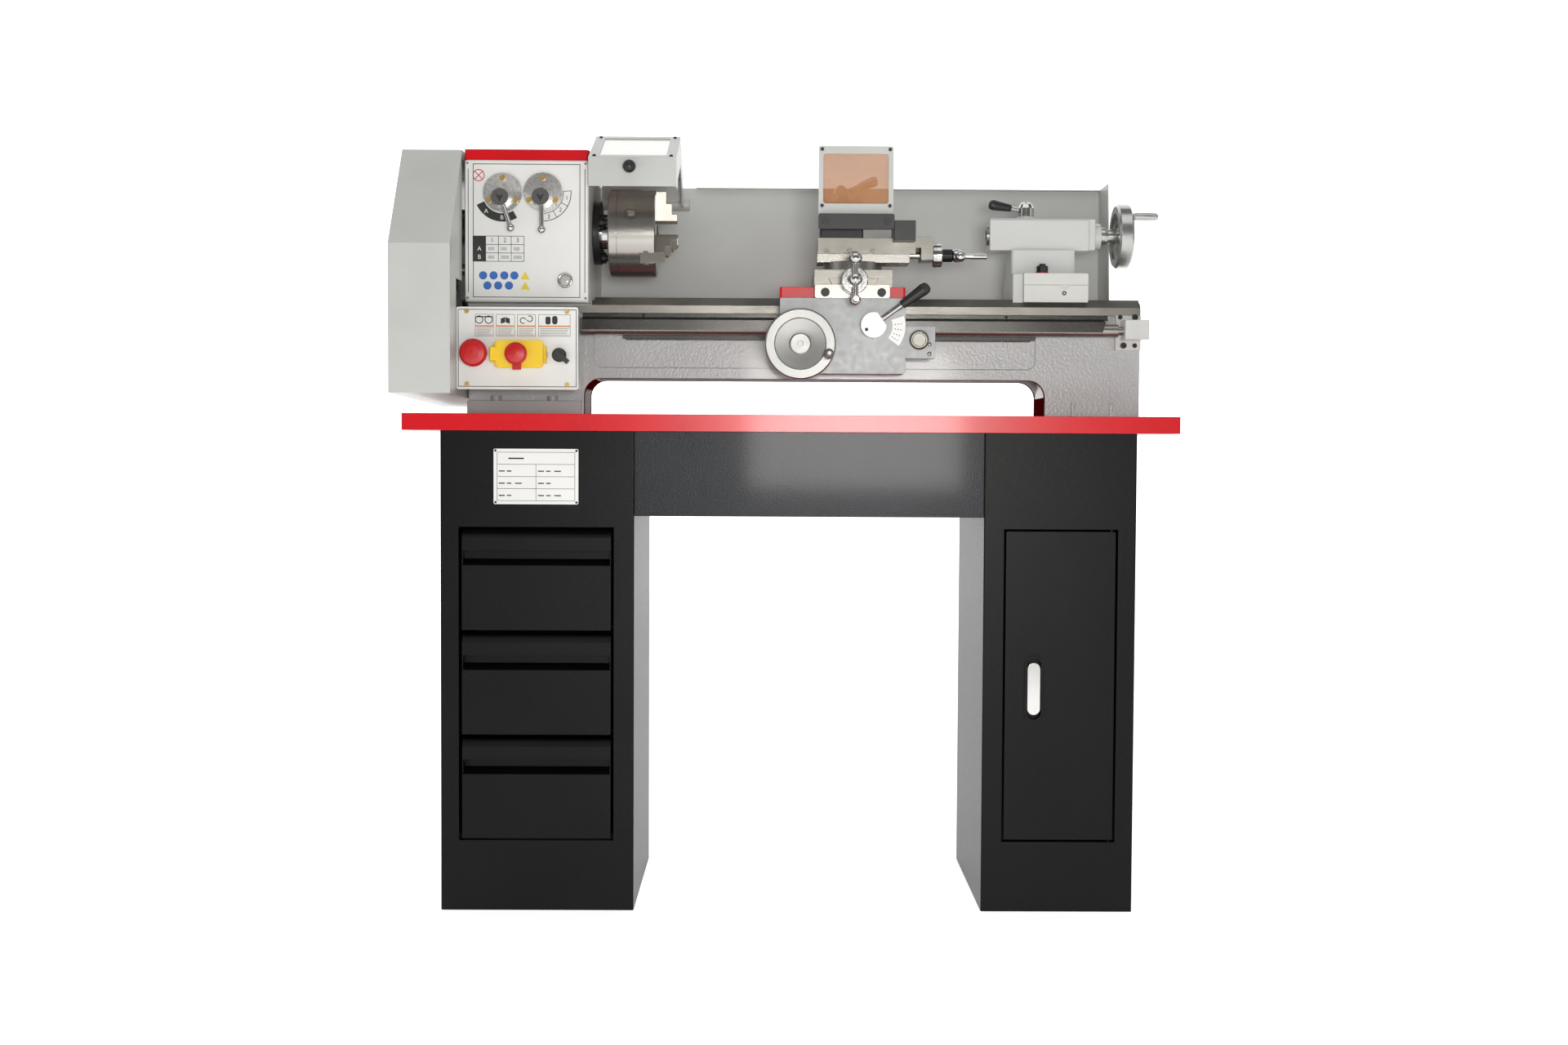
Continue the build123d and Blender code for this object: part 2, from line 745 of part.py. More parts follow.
def leadscrew_bracket():
    x1 = bed_right
    plate = box(x1 - bracket_length, x1 - 0.5, bed_wall_front - 10, bed_wall_front, screw_z - 26.5,
                ways - way_height - slide_gap)
    block = rounded_z(box(x1 - 29, x1 + 5, screw_y - 18, bed_wall_front - 2, screw_z - 12.5,
                          screw_z + 14.5), 2.0)
    shape = plate + block
    return shape - rod_x(x1 - 40, x1 - 4, screw_y, screw_z, screw_journal + running_gap)


# ------------------------------------------------------------------ headstock
def headstock_casting():
    """A ribbed box open at the top, seated over the ways."""
    x0 = bed_left
    x1 = headstock_right
    z0 = ways - headstock_drop
    shell = box(x0, x1, headstock_front, headstock_back, z0, headstock_top)
    shell = rounded_z(shell, 5.0)
    seat = half_bed + 0.5
    shell -= box(x0 - 1, x1 + 1, -seat, seat, z0 - 1, ways)
    shell -= box(x0 + headstock_wall, x1 - headstock_wall, headstock_front + 12,
                 headstock_back - 12, ways + 12, headstock_top + 1)
    shell -= rod_x(x0 - 1, x1 + 1, 0, axis_z, bearing_radius + seat_gap)
    shell -= rod_x(x0 - 1, x1 - 6, input_y, input_z, input_radius + running_gap)
    for x, z in lever_centres():
        shell -= rod_y(headstock_front - 1, headstock_front + 13, x, z,
                       lever_shaft_radius + running_gap)
    sight_x, sight_z = sight_centre()
    shell -= rod_y(headstock_front - 1, headstock_front + 13, sight_x, sight_z, 8.0)
    idler_y, idler_z = idler_centre()
    shell += rod_x(x0 - 24.5, x0 + 1, idler_y, idler_z, 8.0)
    shell += rod_x(x1 - 1, hood_left + 40, hood_pivot_y - 0.0, hood_pivot_z, hood_pin_radius)
    return shell


def lever_centres():
    left = bed_left + 52.0
    return ((left, axis_z + 37.0), (left + 56.0, axis_z + 37.7))


def sight_centre():
    return bed_left + 140.2, axis_z - 76.0


def headstock_lid():
    x0 = bed_left
    x1 = headstock_right
    lid = box(x0, x1, headstock_front, headstock_back, headstock_top, headstock_top + lid_height)
    lid = rounded_z(lid, 5.0)
    lid += box(x0 + headstock_wall + 1, x1 - headstock_wall - 1, headstock_front + 13,
               headstock_back - 13, headstock_top - 6, headstock_top + 2)
    cx = (x0 + x1) / 2
    lid += rod_z(headstock_top + lid_height - 1, headstock_top + lid_height + 8, cx - 40, 40, 11)
    return lid


def detent_plates():
    """Two round plates behind the levers, each bored off centre for its lever shaft."""
    plates = []
    for x, z in lever_centres():
        plate = rod_y(headstock_front - 4, headstock_front, x + 1.5, z + 8, lever_disc_radius)
        plate -= rod_y(headstock_front - 5, headstock_front + 1, x, z, lever_shaft_radius + turn_gap)
        plates.append(plate)
    return group(*plates)


def detent_screw_places(x, z):
    cx = x + 1.5
    cz = z + 8
    return ((cx, cz + 20), (cx - 19, cz - 11), (cx + 18, cz - 11))


def selector(x, z, swing):
    """A speed lever: hub, arm with a ball end, shaft through the wall and a fork arm inside."""
    front = headstock_front - 4
    hub = rod_y(front - 17, front - turn_gap, x, z, lever_hub_radius)
    hub += rod_y(front - turn_gap - 1, headstock_front + 26, x, z, lever_shaft_radius)
    dx = sin(radians(swing))
    dz = -cos(radians(swing))
    end = (x + dx * lever_length, front - 21, z + dz * lever_length)
    hub += bar_between((x + dx * 7, front - 11, z + dz * 7), end, 3.2)
    hub += ball(end[0], end[1], end[2], 5.6)
    inner = headstock_front + 26
    fork = box(x - 8, x + 8, inner - 10, inner, z - 26, z + 8)
    return hub + fork


def range_lever():
    x, z = lever_centres()[0]
    return selector(x, z, 20.0)


def speed_lever():
    x, z = lever_centres()[1]
    return selector(x, z, 3.0)


def spindle_bearings():
    rings = []
    for x0 in (bed_left, headstock_right - bearing_width):
        ring = rod_x(x0, x0 + bearing_width, 0, axis_z, bearing_radius)
        ring -= rod_x(x0 - 1, x0 + bearing_width + 1, 0, axis_z, spindle_radius + running_gap)
        for side in (x0 - 1, x0 + bearing_width - 1):
            groove = rod_x(side, side + 2, 0, axis_z, bearing_radius - 4)
            groove -= rod_x(side - 1, side + 3, 0, axis_z, spindle_radius + 3)
            ring -= groove
        rings.append(ring)
    return group(*rings)


def spindle():
    """A hollow spindle with its nose flange and the bull gear."""
    shaft = rod_x(change_x0 - 1, nose_left + 1, 0, axis_z, spindle_radius)
    shaft -= rod_x(spindle_end - 1, bed_left - 8, 0, axis_z, 40)
    shaft += rod_x(spindle_end, bed_left - 7, 0, axis_z, 15.0)
    shaft += rod_x(nose_left, nose_right, 0, axis_z, nose_radius)
    shaft += rod_x(nose_right - 1, chuck_left, 0, axis_z, 23.0)
    for angle in jaw_angles:
        y, z = polar(angle + 60, 35.0)
        shaft += rod_x(nose_right - 1, chuck_left, y, z, 5.0)
        shaft += rod_x(nose_right - 1, nose_right + 6, y, z, 8.0)
    outline = [(u, axis_z + v) for u, v in gear_points(bull_teeth, gear_module, bull_phase())]
    shaft += prism_x(outline, gear_x0, gear_x0 + gear_width)
    return shaft - rod_x(spindle_end - 1, chuck_left + 1, 0, axis_z, spindle_bore)


def polar(angle, radius):
    """Y and Z of a point about the spindle axis, angle from the operator's side upwards."""
    return -radius * cos(radians(angle)), axis_z + radius * sin(radians(angle))


def bull_phase():
    return input_angle


def chuck_body():
    """The chuck: back part, groove, jaw slots, key sockets and a through bore."""
    body = rod_x(chuck_left, chuck_right, 0, axis_z, chuck_radius)
    body = chamfer(body.edges().filter_by(GeomType.CIRCLE), 1.5)
    groove = rod_x(chuck_left + 12, chuck_left + 13.5, 0, axis_z, chuck_radius + 1)
    groove -= rod_x(chuck_left + 11, chuck_left + 14.5, 0, axis_z, chuck_radius - 1.5)
    body -= groove
    body -= rod_x(chuck_left - 1, chuck_right + 1, 0, axis_z, chuck_bore)
    for angle in jaw_angles:
        body -= jaw_place(angle) * jaw_slot()
        y, z = polar(angle - 60, 0)
        key_place = Pos(0, 0, axis_z) * Rot(-(angle - 60), 0, 0)
        x = chuck_left + 33
        key = rod_y(-chuck_radius - 1, -chuck_radius + 12, x, 0, 9.5)
        body -= key_place * key
        plug = rod_y(-chuck_radius + 1.0, -chuck_radius + 12, x, 0, 9.4)
        plug -= box(x - 5, x + 5, -chuck_radius - 2, -chuck_radius + 9, -5, 5)
        body += key_place * plug
    return body


def jaw_place(angle):
    """Local +Y is the jaw's outward direction, local Z the way round the chuck."""
    return Pos(0, 0, axis_z) * Rot(-angle, 0, 0) * Rot(180, 0, 0)


def jaw_slot():
    half = jaw_width / 2 + slide_gap
    x0 = chuck_right - jaw_depth - slide_gap
    slot = box(x0, chuck_right + 1, 0, chuck_radius + 2, -half, half)
    slot += box(x0 + 6 - slide_gap, x0 + 12 + slide_gap, 0, chuck_radius + 2, -half - 3, half + 3)
    return slot


def chuck_jaw(index):
    """A three-step jaw with a wedge tip and side tongues that ride in the body."""
    half = jaw_width / 2
    x0 = chuck_right - jaw_depth
    out = jaw_start + jaw_reach
    wedge = half / tan(radians(60))
    plan = [(jaw_start, 0), (jaw_start + wedge, half), (out, half), (out, -half),
            (jaw_start + wedge, -half)]
    steps = ((jaw_start + 14, 29.0), (jaw_start + 29, 21.3), (out + 1, 13.4))
    jaw = None
    for stop, height in steps:
        level = prism_x(plan, x0, chuck_right + height)
        level &= box(x0 - 1, chuck_right + height + 1, jaw_start - 1, stop, -half - 1, half + 1)
        jaw = level if jaw is None else jaw + level
    tongue = box(x0 + 6, x0 + 12, jaw_start + wedge + 4, out, -half - 3 + slide_gap,
                 half + 3 - slide_gap)
    return jaw_place(jaw_angles[index]) * (jaw + tongue)


def change_gear():
    return gear_x(change_teeth, change_module, 0.0, 0, axis_z, change_x0, change_x0 + change_width,
                  15.0 + seat_gap)


def gear_line():
    """Distance and direction, in degrees, from the spindle to the leadscrew."""
    return hypot(screw_y, screw_z - axis_z), degrees(atan2(screw_z - axis_z, screw_y))


def idler_teeth():
    distance = gear_line()[0]
    ends = change_module * (change_teeth + screw_gear_teeth) / 2
    return ceil((distance - ends) / change_module)


def idler_centre():
    distance, direction = gear_line()
    first = change_module * (change_teeth + idler_teeth()) / 2
    second = change_module * (screw_gear_teeth + idler_teeth()) / 2
    along = (distance ** 2 + first ** 2 - second ** 2) / (2 * distance)
    off = sqrt(max(first ** 2 - along ** 2, 0.0))
    c = cos(radians(direction))
    s = sin(radians(direction))
    return along * c + off * s, axis_z + along * s - off * c


def idler_phase():
    y, z = idler_centre()
    direction = degrees(atan2(z - axis_z, y))
    return mesh_phase(0.0, change_teeth, idler_teeth(), direction)


def idler_gear():
    y, z = idler_centre()
    return gear_x(idler_teeth(), change_module, idler_phase(), y, z, change_x0,
                  change_x0 + change_width, 8.0 + running_gap)


def leadscrew():
    """The leadscrew with its gear inside the end cover and a coupling collar."""
    y, z = idler_centre()
    direction = degrees(atan2(screw_z - z, screw_y - y))
    phase = mesh_phase(idler_phase(), idler_teeth(), screw_gear_teeth, direction)
    outline = [(screw_y + u, screw_z + v) for u, v in
               gear_points(screw_gear_teeth, change_module, phase)]
    screw = prism_x(outline, change_x0, change_x0 + change_width)
    start = headstock_right + 8
    end = bed_right - 36
    screw += rod_x(change_x0 - 6, start, screw_y, screw_z, 7.0)
    screw += rod_x(headstock_right - 12, start, screw_y, screw_z, 10.0)
    screw += rod_x(start - 1, end, screw_y, screw_z, screw_radius)
    screw += rod_x(end - 1, bed_right - 5, screw_y, screw_z, screw_journal)
    return screw


def input_shaft():
    """The input shaft: pulley outside, pinion in mesh with the bull gear inside."""
    phase = mesh_phase(bull_phase(), bull_teeth, pinion_teeth, input_angle)
    outline = [(input_y + u, input_z + v) for u, v in
               gear_points(pinion_teeth, gear_module, phase)]
    shaft = prism_x(outline, gear_x0, gear_x0 + gear_width)
    shaft += rod_x(pulley_x0 - 3, headstock_right - 8, input_y, input_z, input_radius)
    return shaft + pulley(input_y, input_z, big_pulley_radius)


def pulley(y, z, radius):
    x0 = pulley_x0
    wheel = rod_x(x0, x0 + belt_width + 8, y, z, radius)
    for start in (x0, x0 + belt_width + 4.4):
        wheel += rod_x(start, start + 3.6, y, z, radius + pulley_flange)
    return wheel


def motor_pulley():
    shaft = pulley(motor_y, motor_z, small_pulley_radius)
    return shaft + rod_x(pulley_x0 - 2, bed_left + 8, motor_y, motor_z, 9.0)


def loop_face(first, second, first_radius, second_radius):
    """The outline of a tight loop round two circles, as a face of (Y, Z) points."""
    dy = second[0] - first[0]
    dz = second[1] - first[1]
    distance = hypot(dy, dz)
    heading = atan2(dz, dy)
    lean = (first_radius - second_radius) / distance
    spread = pi / 2 - atan2(lean, sqrt(1 - lean * lean))
    corners = []
    for centre, radius, sign in ((first, first_radius, 1), (second, second_radius, 1),
                                 (second, second_radius, -1), (first, first_radius, -1)):
        angle = heading + sign * spread
        corners.append((centre[0] + radius * cos(angle), centre[1] + radius * sin(angle)))
    face = Polygon(*corners, align=None)
    face += Pos(first[0], first[1]) * Circle(first_radius)
    face += Pos(second[0], second[1]) * Circle(second_radius)
    return face


def drive_belt():
    first = (input_y, input_z)
    second = (motor_y, motor_z)
    inner = loop_face(first, second, big_pulley_radius + belt_gap, small_pulley_radius + belt_gap)
    outer = loop_face(first, second, big_pulley_radius + belt_gap + belt_thickness,
                      small_pulley_radius + belt_gap + belt_thickness)
    face = Plane.YZ.offset(pulley_x0 + 4) * (outer - inner)
    return extrude(face, amount=belt_width, dir=(1, 0, 0))


def motor():
    """A finned motor behind the headstock on a bracket bolted to the casting."""
    x0 = bed_left + 7
    x1 = x0 + motor_length
    body = rod_x(x0, x1, motor_y, motor_z, motor_radius - 4)
    for i in range(16):
        angle = i * 22.5
        fin = box(x0 + 12, x1 - 30, motor_radius - 6, motor_radius, -1.5, 1.5)
        body += Pos(0, motor_y, motor_z) * Rot(angle, 0, 0) * fin
    body += rod_x(x1 - 26, x1, motor_y, motor_z, motor_radius)
    body += rod_x(x0, x0 + 8, motor_y, motor_z, motor_radius)
    foot = box(x0 + 20, x1 - 40, headstock_back, motor_y - 40, motor_z + 4, motor_z + 24)
    plate = box(x0 + 10, x1 - 30, headstock_back, headstock_back + 8, motor_z - 12, motor_z + 90)
    terminal = box(x0 + 40, x1 - 50, motor_y - 30, motor_y + 30, motor_z + motor_radius - 8,
                   motor_z + motor_radius + 22)
    shape = body + foot + plate + terminal
    return shape - rod_x(x0 - 1, x0 + 10, motor_y, motor_z, 9.0 + running_gap)


# ------------------------------------------------------------------ covers, guards and electrics
def end_cover():
    """The sheet cover over the gear train, with a sloping front top and an open side."""
    slope = cover_top - (cover_bottom + 200.0)
    outline = [(cover_front, cover_bottom), (cover_front, cover_bottom + 200.0),
               (cover_front + slope * 0.714, cover_top), (cover_back, cover_top),
               (cover_back, cover_bottom - 10.0)]
    outer = Polygon(*outline, align=None)
    inner = offset(outer, -sheet, kind=Kind.INTERSECTION)
    shell = extrude(Plane.YZ.offset(cover_left) * outer, amount=cover_length, dir=(1, 0, 0))
    shell -= extrude(Plane.YZ.offset(cover_left + sheet) * inner, amount=cover_length + 1,
                     dir=(1, 0, 0))
    rim = extrude(Plane.YZ.offset(cover_right - sheet) * inner, amount=sheet, dir=(1, 0, 0))
    step_z = ways + 22.0
    rim -= box(cover_right - 5, cover_right + 1, cover_front + cover_flange, cover_back - 12,
               cover_bottom + 12, step_z)
    rim -= box(cover_right - 5, cover_right + 1, headstock_front - 3, cover_back - 12,
               step_z - 1, cover_top - 12)
    shell += rim
    pin_y = cover_back + 5.0
    for z in (cover_bottom + 60, cover_top - 60):
        knuckle = rod_z(z - 20, z + 20, cover_right - 5, pin_y, 5.0)
        shell += knuckle
    return shell


def cover_hinge():
    return cover_right - 5, cover_back + 5.0


def electrics_box():
    x0 = panel_left + 3
    x1 = panel_right - 3
    back = panel_front + box_depth
    shell = box(x0, x1, panel_front, back, panel_bottom + 3, panel_top - 3)
    shell -= box(x0 + 2, x1 - 2, panel_front - 1, back - 2, panel_bottom + 5, panel_top - 5)
    mount = box(x0 + 8, x1 - 8, back, bed_wall_front, panel_bottom + 6, screw_z - 26)
    return shell + mount


def button_centre():
    return panel_left + 25.9, panel_bottom + 49.0


def switch_centre():
    return panel_left + 86.5, panel_bottom + 47.5


def selector_centre():
    return panel_left + 141.0, panel_bottom + 47.0


def control_panel():
    y0 = panel_front - 2.0
    plate = box(panel_left, panel_right, y0, panel_front, panel_bottom, panel_top)
    plate = rounded_y(plate, 3.0)
    bx, bz = button_centre()
    sx, sz = selector_centre()
    plate -= rod_y(y0 - 1, panel_front + 1, bx, bz, 11.0)
    plate -= rod_y(y0 - 1, panel_front + 1, sx, sz, 6.0)
    return plate


def emergency_button():
    """A mushroom head on a stem that pushes in."""
    x, z = button_centre()
    y = panel_front - 2.0
    place = facing(x, y, z, (0, -1, 0))
    profile = [(0, -22), (9.0, -22), (9.0, 12.0), (16.0, 13.0), (button_radius, 17.0),
               (button_radius, 22.0), (button_radius - 3.0, 25.5), (9.0, 27.5), (0, 28.0)]
    return turned(profile, place)


def switch_base():
    """The fixed yellow body of the start and stop switch and the selector's base plate."""
    x, z = switch_centre()
    y = panel_front - 2.0
    body = box(x - 33, x + 31, y - 16, y, z - 17, z + 17)
    body = rounded_y(body, 4.0)
    body += box(x - 38, x - 33, y - 12, y, z - 11, z + 11)
    body += box(x + 31, x + 37, y - 10, y, z - 12, z + 12)
    sx, sz = selector_centre()
    plate = rounded_y(box(sx - 14, sx + 14, y - 2.0, y, sz - 14, sz + 14), 2.0)
    plate -= rod_y(y - 3, y + 1, sx, sz, 6.0)
    return group(body, plate)


def flap_hinge():
    x, z = switch_centre()
    return x - 36.0, panel_front - 2.0 - 16.0 - turn_gap - 3.0


def switch_flap():
    """The yellow flap over the switch, with the red stop mushroom and its pull tab."""
    x, z = switch_centre()
    y = panel_front - 2.0 - 16.0 - turn_gap
    flap = rounded_y(box(x - 30, x + 34, y - 5, y, z - 18.5, z + 18.5), 5.0)
    hinge_x, hinge_y = flap_hinge()
    flap += box(hinge_x, x - 28, y - 5, y - 1, z - 9, z + 9)
    flap += rod_z(z - 9, z + 9, hinge_x, hinge_y, 2.6)
    place = facing(x - 1, y - 5, z, (0, -1, 0))
    profile = [(0, -1), (7, -1), (7, 6), (13, 7), (mushroom_radius, 10), (mushroom_radius, 14),
               (12, 17), (6, 18.5), (0, 19)]
    mushroom = turned(profile, place)
    tab = rounded_y(box(x - 7, x + 5, y - 9, y - 5, z - 21.5, z - 8), 1.5)
    return group(flap, mushroom + tab)


def selector_knob():
    x, z = selector_centre()
    y = panel_front - 4.0 - turn_gap
    place = facing(x, y, z, (0, -1, 0))
    knob = turned([(0, -20), (5.5, -20), (5.5, 0), (knob_radius, 0), (knob_radius, 8),
                   (knob_radius - 1.5, 10), (0, 10)], place)
    pointer = Rot(0, 38, 0) * box(-4, 16, y - 15, y - 4, -3.2, 3.2)
    return knob + Pos(x, 0, z) * pointer


def hood_outline():
    roof = axis_z + 139.0
    return [(hood_front, axis_z + 51), (hood_front, axis_z + 91), (0, roof),
            (hood_pivot_y - 15, axis_z + 90), (hood_pivot_y - 4, hood_pivot_z - 6)]


def hood_window():
    """Corners of the window in the hood's front slope, as distances along the slope."""
    return 12.0, 116.0, 14.0, 14.0


def chuck_guard():
    """A bent hood over the chuck, with a side plate, a window and a knob, on a pivot tube."""
    outline = hood_outline()
    hood = prism_x(bent(outline, -sheet), hood_left, hood_right)
    side = prism_x(outline, hood_right - sheet, hood_right)
    side -= prism_x([(-78, axis_z + 40), (-78, axis_z + 66), (0, axis_z + 98), (58, axis_z + 66),
                     (70, axis_z + 40)], hood_right - 5, hood_right + 1)
    hood += side
    tube = rod_x(hood_left - 1 + turn_gap, hood_right + 9, hood_pivot_y, hood_pivot_z,
                 hood_tube_radius)
    tube -= rod_x(hood_left - 3, hood_left + 41, hood_pivot_y, hood_pivot_z,
                  hood_pin_radius + running_gap)
    hood += tube
    front = (hood_front, axis_z + 91.0)
    roof = (0.0, axis_z + 139.0)
    run = hypot(roof[0] - front[0], roof[1] - front[1])
    c = (roof[0] - front[0]) / run
    s = (roof[1] - front[1]) / run
    start, stop, left, right = hood_window()
    hole = prism_x([(front[0] + c * start + s * 4, front[1] + s * start - c * 4),
                    (front[0] + c * stop + s * 4, front[1] + s * stop - c * 4),
                    (front[0] + c * stop - s * 4, front[1] + s * stop + c * 4),
                    (front[0] + c * start - s * 4, front[1] + s * start + c * 4)],
                   hood_left + left, hood_right - right)
    hood -= hole
    lift = 0.3
    under = sheet + lift
    pane_shape = prism_x([(front[0] + c * (start - 6) + s * (under + pane),
                           front[1] + s * (start - 6) - c * (under + pane)),
                          (front[0] + c * (stop + 6) + s * (under + pane),
                           front[1] + s * (stop + 6) - c * (under + pane)),
                          (front[0] + c * (stop + 6) + s * sheet, front[1] + s * (stop + 6) - c * sheet),
                          (front[0] + c * (start - 6) + s * sheet,
                           front[1] + s * (start - 6) - c * sheet)],
                         hood_left + left - 6, hood_right - right + 6)
    knob_x = (hood_left + hood_right) / 2 - 3
    stem = rod_y(hood_front - 12, hood_front + 1, knob_x, axis_z + 74, 4.5)
    knob = stem + ball(knob_x, hood_front - 17, axis_z + 76, 9.0)
    return group(hood, pane_shape, knob - rod_y(hood_front, hood_front + 9, knob_x, axis_z + 74, 9))


def splash_guard():
    """The bent back panel with a top lip and a wing at its right end, on two brackets."""
    y0 = splash_y
    z0 = ways + splash_bottom
    z1 = splash_top
    lip_x = hood_right + 18
    panel = box(splash_left, splash_right, y0, y0 + sheet, z0, z1)
    panel += box(lip_x, splash_right, y0 - splash_lip, y0 + sheet, z1 - sheet, z1)
    wing = prism_x([(y0 + sheet, z0), (y0 + sheet, z1), (half_bed, z1), (half_bed - 17, ways + 5),
                    (half_bed + 2, ways + 5), (half_bed + 2, z0)], splash_right - sheet, splash_right)
    panel += wing
    for x in (splash_left + 90, splash_right - 90):
        panel += box(x - 15, x + 15, bed_wall_back, y0 + 1, ways - 50, ways - 46)
        panel += box(x - 15, x + 15, bed_wall_back, bed_wall_back + 4, ways - 50, ways - 30)
    return panel


def screws_and_pins():
    """Screws and dowels that hold the fixed pieces."""
    screws = []
    for x in (panel_left + 14, panel_right - 15):
        for z in (panel_bottom + 7, panel_top - 6):
            screws.append(front_screw(x, panel_front - 2.0, z, 3.2, 2.0))
    for lever in lever_centres():
        for x, z in detent_screw_places(*lever):
            screws.append(front_screw(x, headstock_front - 4.0, z, 4.0, 2.0))
    plate_y = bed_wall_front - 10
    screws.append(front_screw(bed_right - 9, plate_y, ways - 20.5, 4.2, 3.0))
    screws.append(front_screw(bed_right - 25, plate_y, screw_z - 19.5, 4.2, 3.0))
    screws.append(front_screw(bed_right - 9, plate_y, screw_z - 19.5, 3.2, 1.5))
    screws.append(front_screw(bed_right - 30, plate_y, ways - 20.5, 3.2, 1.5))
    for x in (headstock_right + 74, bed_right - 190):
        screws.append(front_screw(x, bed_wall_front - sheet, ways - 20.9, 2.4, 2.0))
    for x in (splash_left + 90, splash_right - 90):
        screws.append(facing(x, bed_wall_back + 4, ways - 38, (0, 1, 0)) * cap_screw(6.0, 6.0))
    block_top = tray_top + base_block_height
    for x in bed_bolt_places():
        top = block_top if x < 0 else tray_top + 12.0
        for y in (-base_block_width / 2 + 7.5, base_block_width / 2 - 7.5):
            if abs(y) > bed_wall_back + 8:
                screws.append(top_screw(x, y, top, 7.0, 7.0))
    return group(*screws)


# ------------------------------------------------------------------ carriage
def dovetail(x, y0, y1, z0, grow):
    """A dovetail along Y, wider at its top, grown all round by a clearance."""
    top = dovetail_top / 2 + grow
    foot = top - (dovetail_height + grow) * tan(radians(30))
    z1 = z0 + dovetail_height + grow
    return prism_y([(x - foot, z0 - 0.5), (x + foot, z0 - 0.5), (x + top, z1), (x - top, z1)], y0, y1)


def saddle():
    """The saddle on the ways, with the cross dovetail, its screw slot and the front bracket."""
    y0 = -saddle_width / 2
    y1 = saddle_width / 2
    z0 = ways + slide_gap
    plate = rounded_z(box(saddle_left, saddle_right, y0, y1, z0, saddle_top), 3.0)
    for x0 in (saddle_left - 1, saddle_right - 30):
        plate -= box(x0, x0 + 31, -15, 15, z0 - 1, saddle_top + 1)
    for y in ridge_places():
        r = ridge_height + 1.0
        plate -= prism_x([(y - r, z0 - 0.1), (y, z0 + r), (y + r, z0 - 0.1)],
                         saddle_left - 1, saddle_right + 1)
    plate += dovetail(swivel_x, y0 + 1, y1, saddle_top, 0.0)
    plate -= box(swivel_x - 9, swivel_x + 9, y0 + 4, y1 + 1, saddle_top - 7, saddle_top + 20)
    plate -= rod_y(y0 - 1, y0 + 5, swivel_x, feed_z, feed_screw_radius + running_gap)
    leg_y = half_bed + 0.5
    plate += box(saddle_left + 10, saddle_right - 10, leg_y, leg_y + 14, ways - way_height - 12, z0 + 1)
    plate += box(saddle_left + 10, saddle_right - 10, bed_wall_back + 0.5, leg_y + 14,
                 ways - way_height - 12, ways - way_height - slide_gap)
    bracket_y = y0 - 12
    bracket = rounded_y(box(swivel_x - 54, swivel_x + 50, bracket_y, y0, z0, saddle_top + 2.5), 3.0)
    bracket += rod_y(bracket_y - 12, y0, swivel_x, feed_z, 17.0)
    bracket -= rod_y(bracket_y - 13, y0 + 1, swivel_x, feed_z, feed_screw_radius + running_gap)
    screws = []
    for x in (swivel_x - 39.5, swivel_x + 38.5):
        screws.append(front_screw(x, bracket_y, ways + 8, 6.0, 3.0))
    return group(plate, bracket, *screws)


def apron():
    """The apron: front wall, floor and side walls cut clear of the rack, screw and guard."""
    x0 = saddle_left + 0.3
    x1 = saddle_right - 0.3
    z0 = ways - apron_drop
    back = bed_wall_front - 6.5
    inner = apron_front + apron_wall
    wall = rounded_y(box(x0, x1, apron_front, inner, z0, ways + slide_gap), 2.0)
    wall += box(x0 + 2, x1 - 2, inner - 1, back, z0, z0 + 8)
    for x in (x0 + 2, x1 - 2 - apron_side):
        wall += box(x, x + apron_side, inner - 1, back, z0, dial_z - 12)
    wall += box(x0 + 2, x1 - 2, inner - 1, -half_bed - 2, ways - 15, ways + slide_gap)
    wall -= rod_y(apron_front - 1, inner + 1, wheel_x, wheel_z, wheel_shaft_radius + running_gap)
    wall -= rod_y(apron_front - 1, inner + 1, nut_lever_x, nut_lever_z, 6.0 + running_gap)
    case_x = dial_rod_x
    case = box(x1, case_x + 22.5, apron_front, apron_front + 15, dial_z - 25.5, dial_z + 18.5)
    case = rounded_y(case, 2.0)
    case -= rod_y(apron_front - 1, apron_front + 16, case_x, dial_z, 4.0 + running_gap)
    return group(wall, case)


def carriage_handwheel():
    """A dished handwheel with its handle, on the shaft of the rack pinion."""
    place = facing(wheel_x, handwheel_plane, wheel_z, (0, -1, 0))
    rim = handwheel_radius
    profile = [(0, -22), (14.7, -22), (14.7, -4), (rim - 14, -7), (rim - 13, -10), (rim - 2, -10),
               (rim, -8), (rim, 4), (rim - 2, 6), (rim - 13, 6), (rim - 14, 3), (14.7, -1),
               (14.7, 8), (13, 9), (0, 9)]
    wheel = turned(profile, place)
    wheel -= facing(wheel_x, handwheel_plane - 5, wheel_z, (0, -1, 0)) * extrude(
        hexagon(4.5), amount=10, dir=(0, 0, 1))
    wheel += rod_y(handwheel_plane + 20, bed_wall_front - 2, wheel_x, wheel_z, wheel_shaft_radius)
    pinion = [(wheel_x + u, wheel_z + v) for u, v in
              gear_points(pinion_count, rack_module, 90.0)]
    wheel += prism_y(pinion, bed_wall_front - rack_width, bed_wall_front - 2)
    hx = wheel_x + 38.3
    hz = wheel_z - 14.7
    handle_place = facing(hx, handwheel_plane - 5, hz, (0, -1, 0))
    handle = turned([(0, 0), (4, 0), (5.5, 3), (7.0, 14), (6.8, 30), (5.0, 41), (2.5, 44), (0, 44)],
                    handle_place)
    return wheel + handle


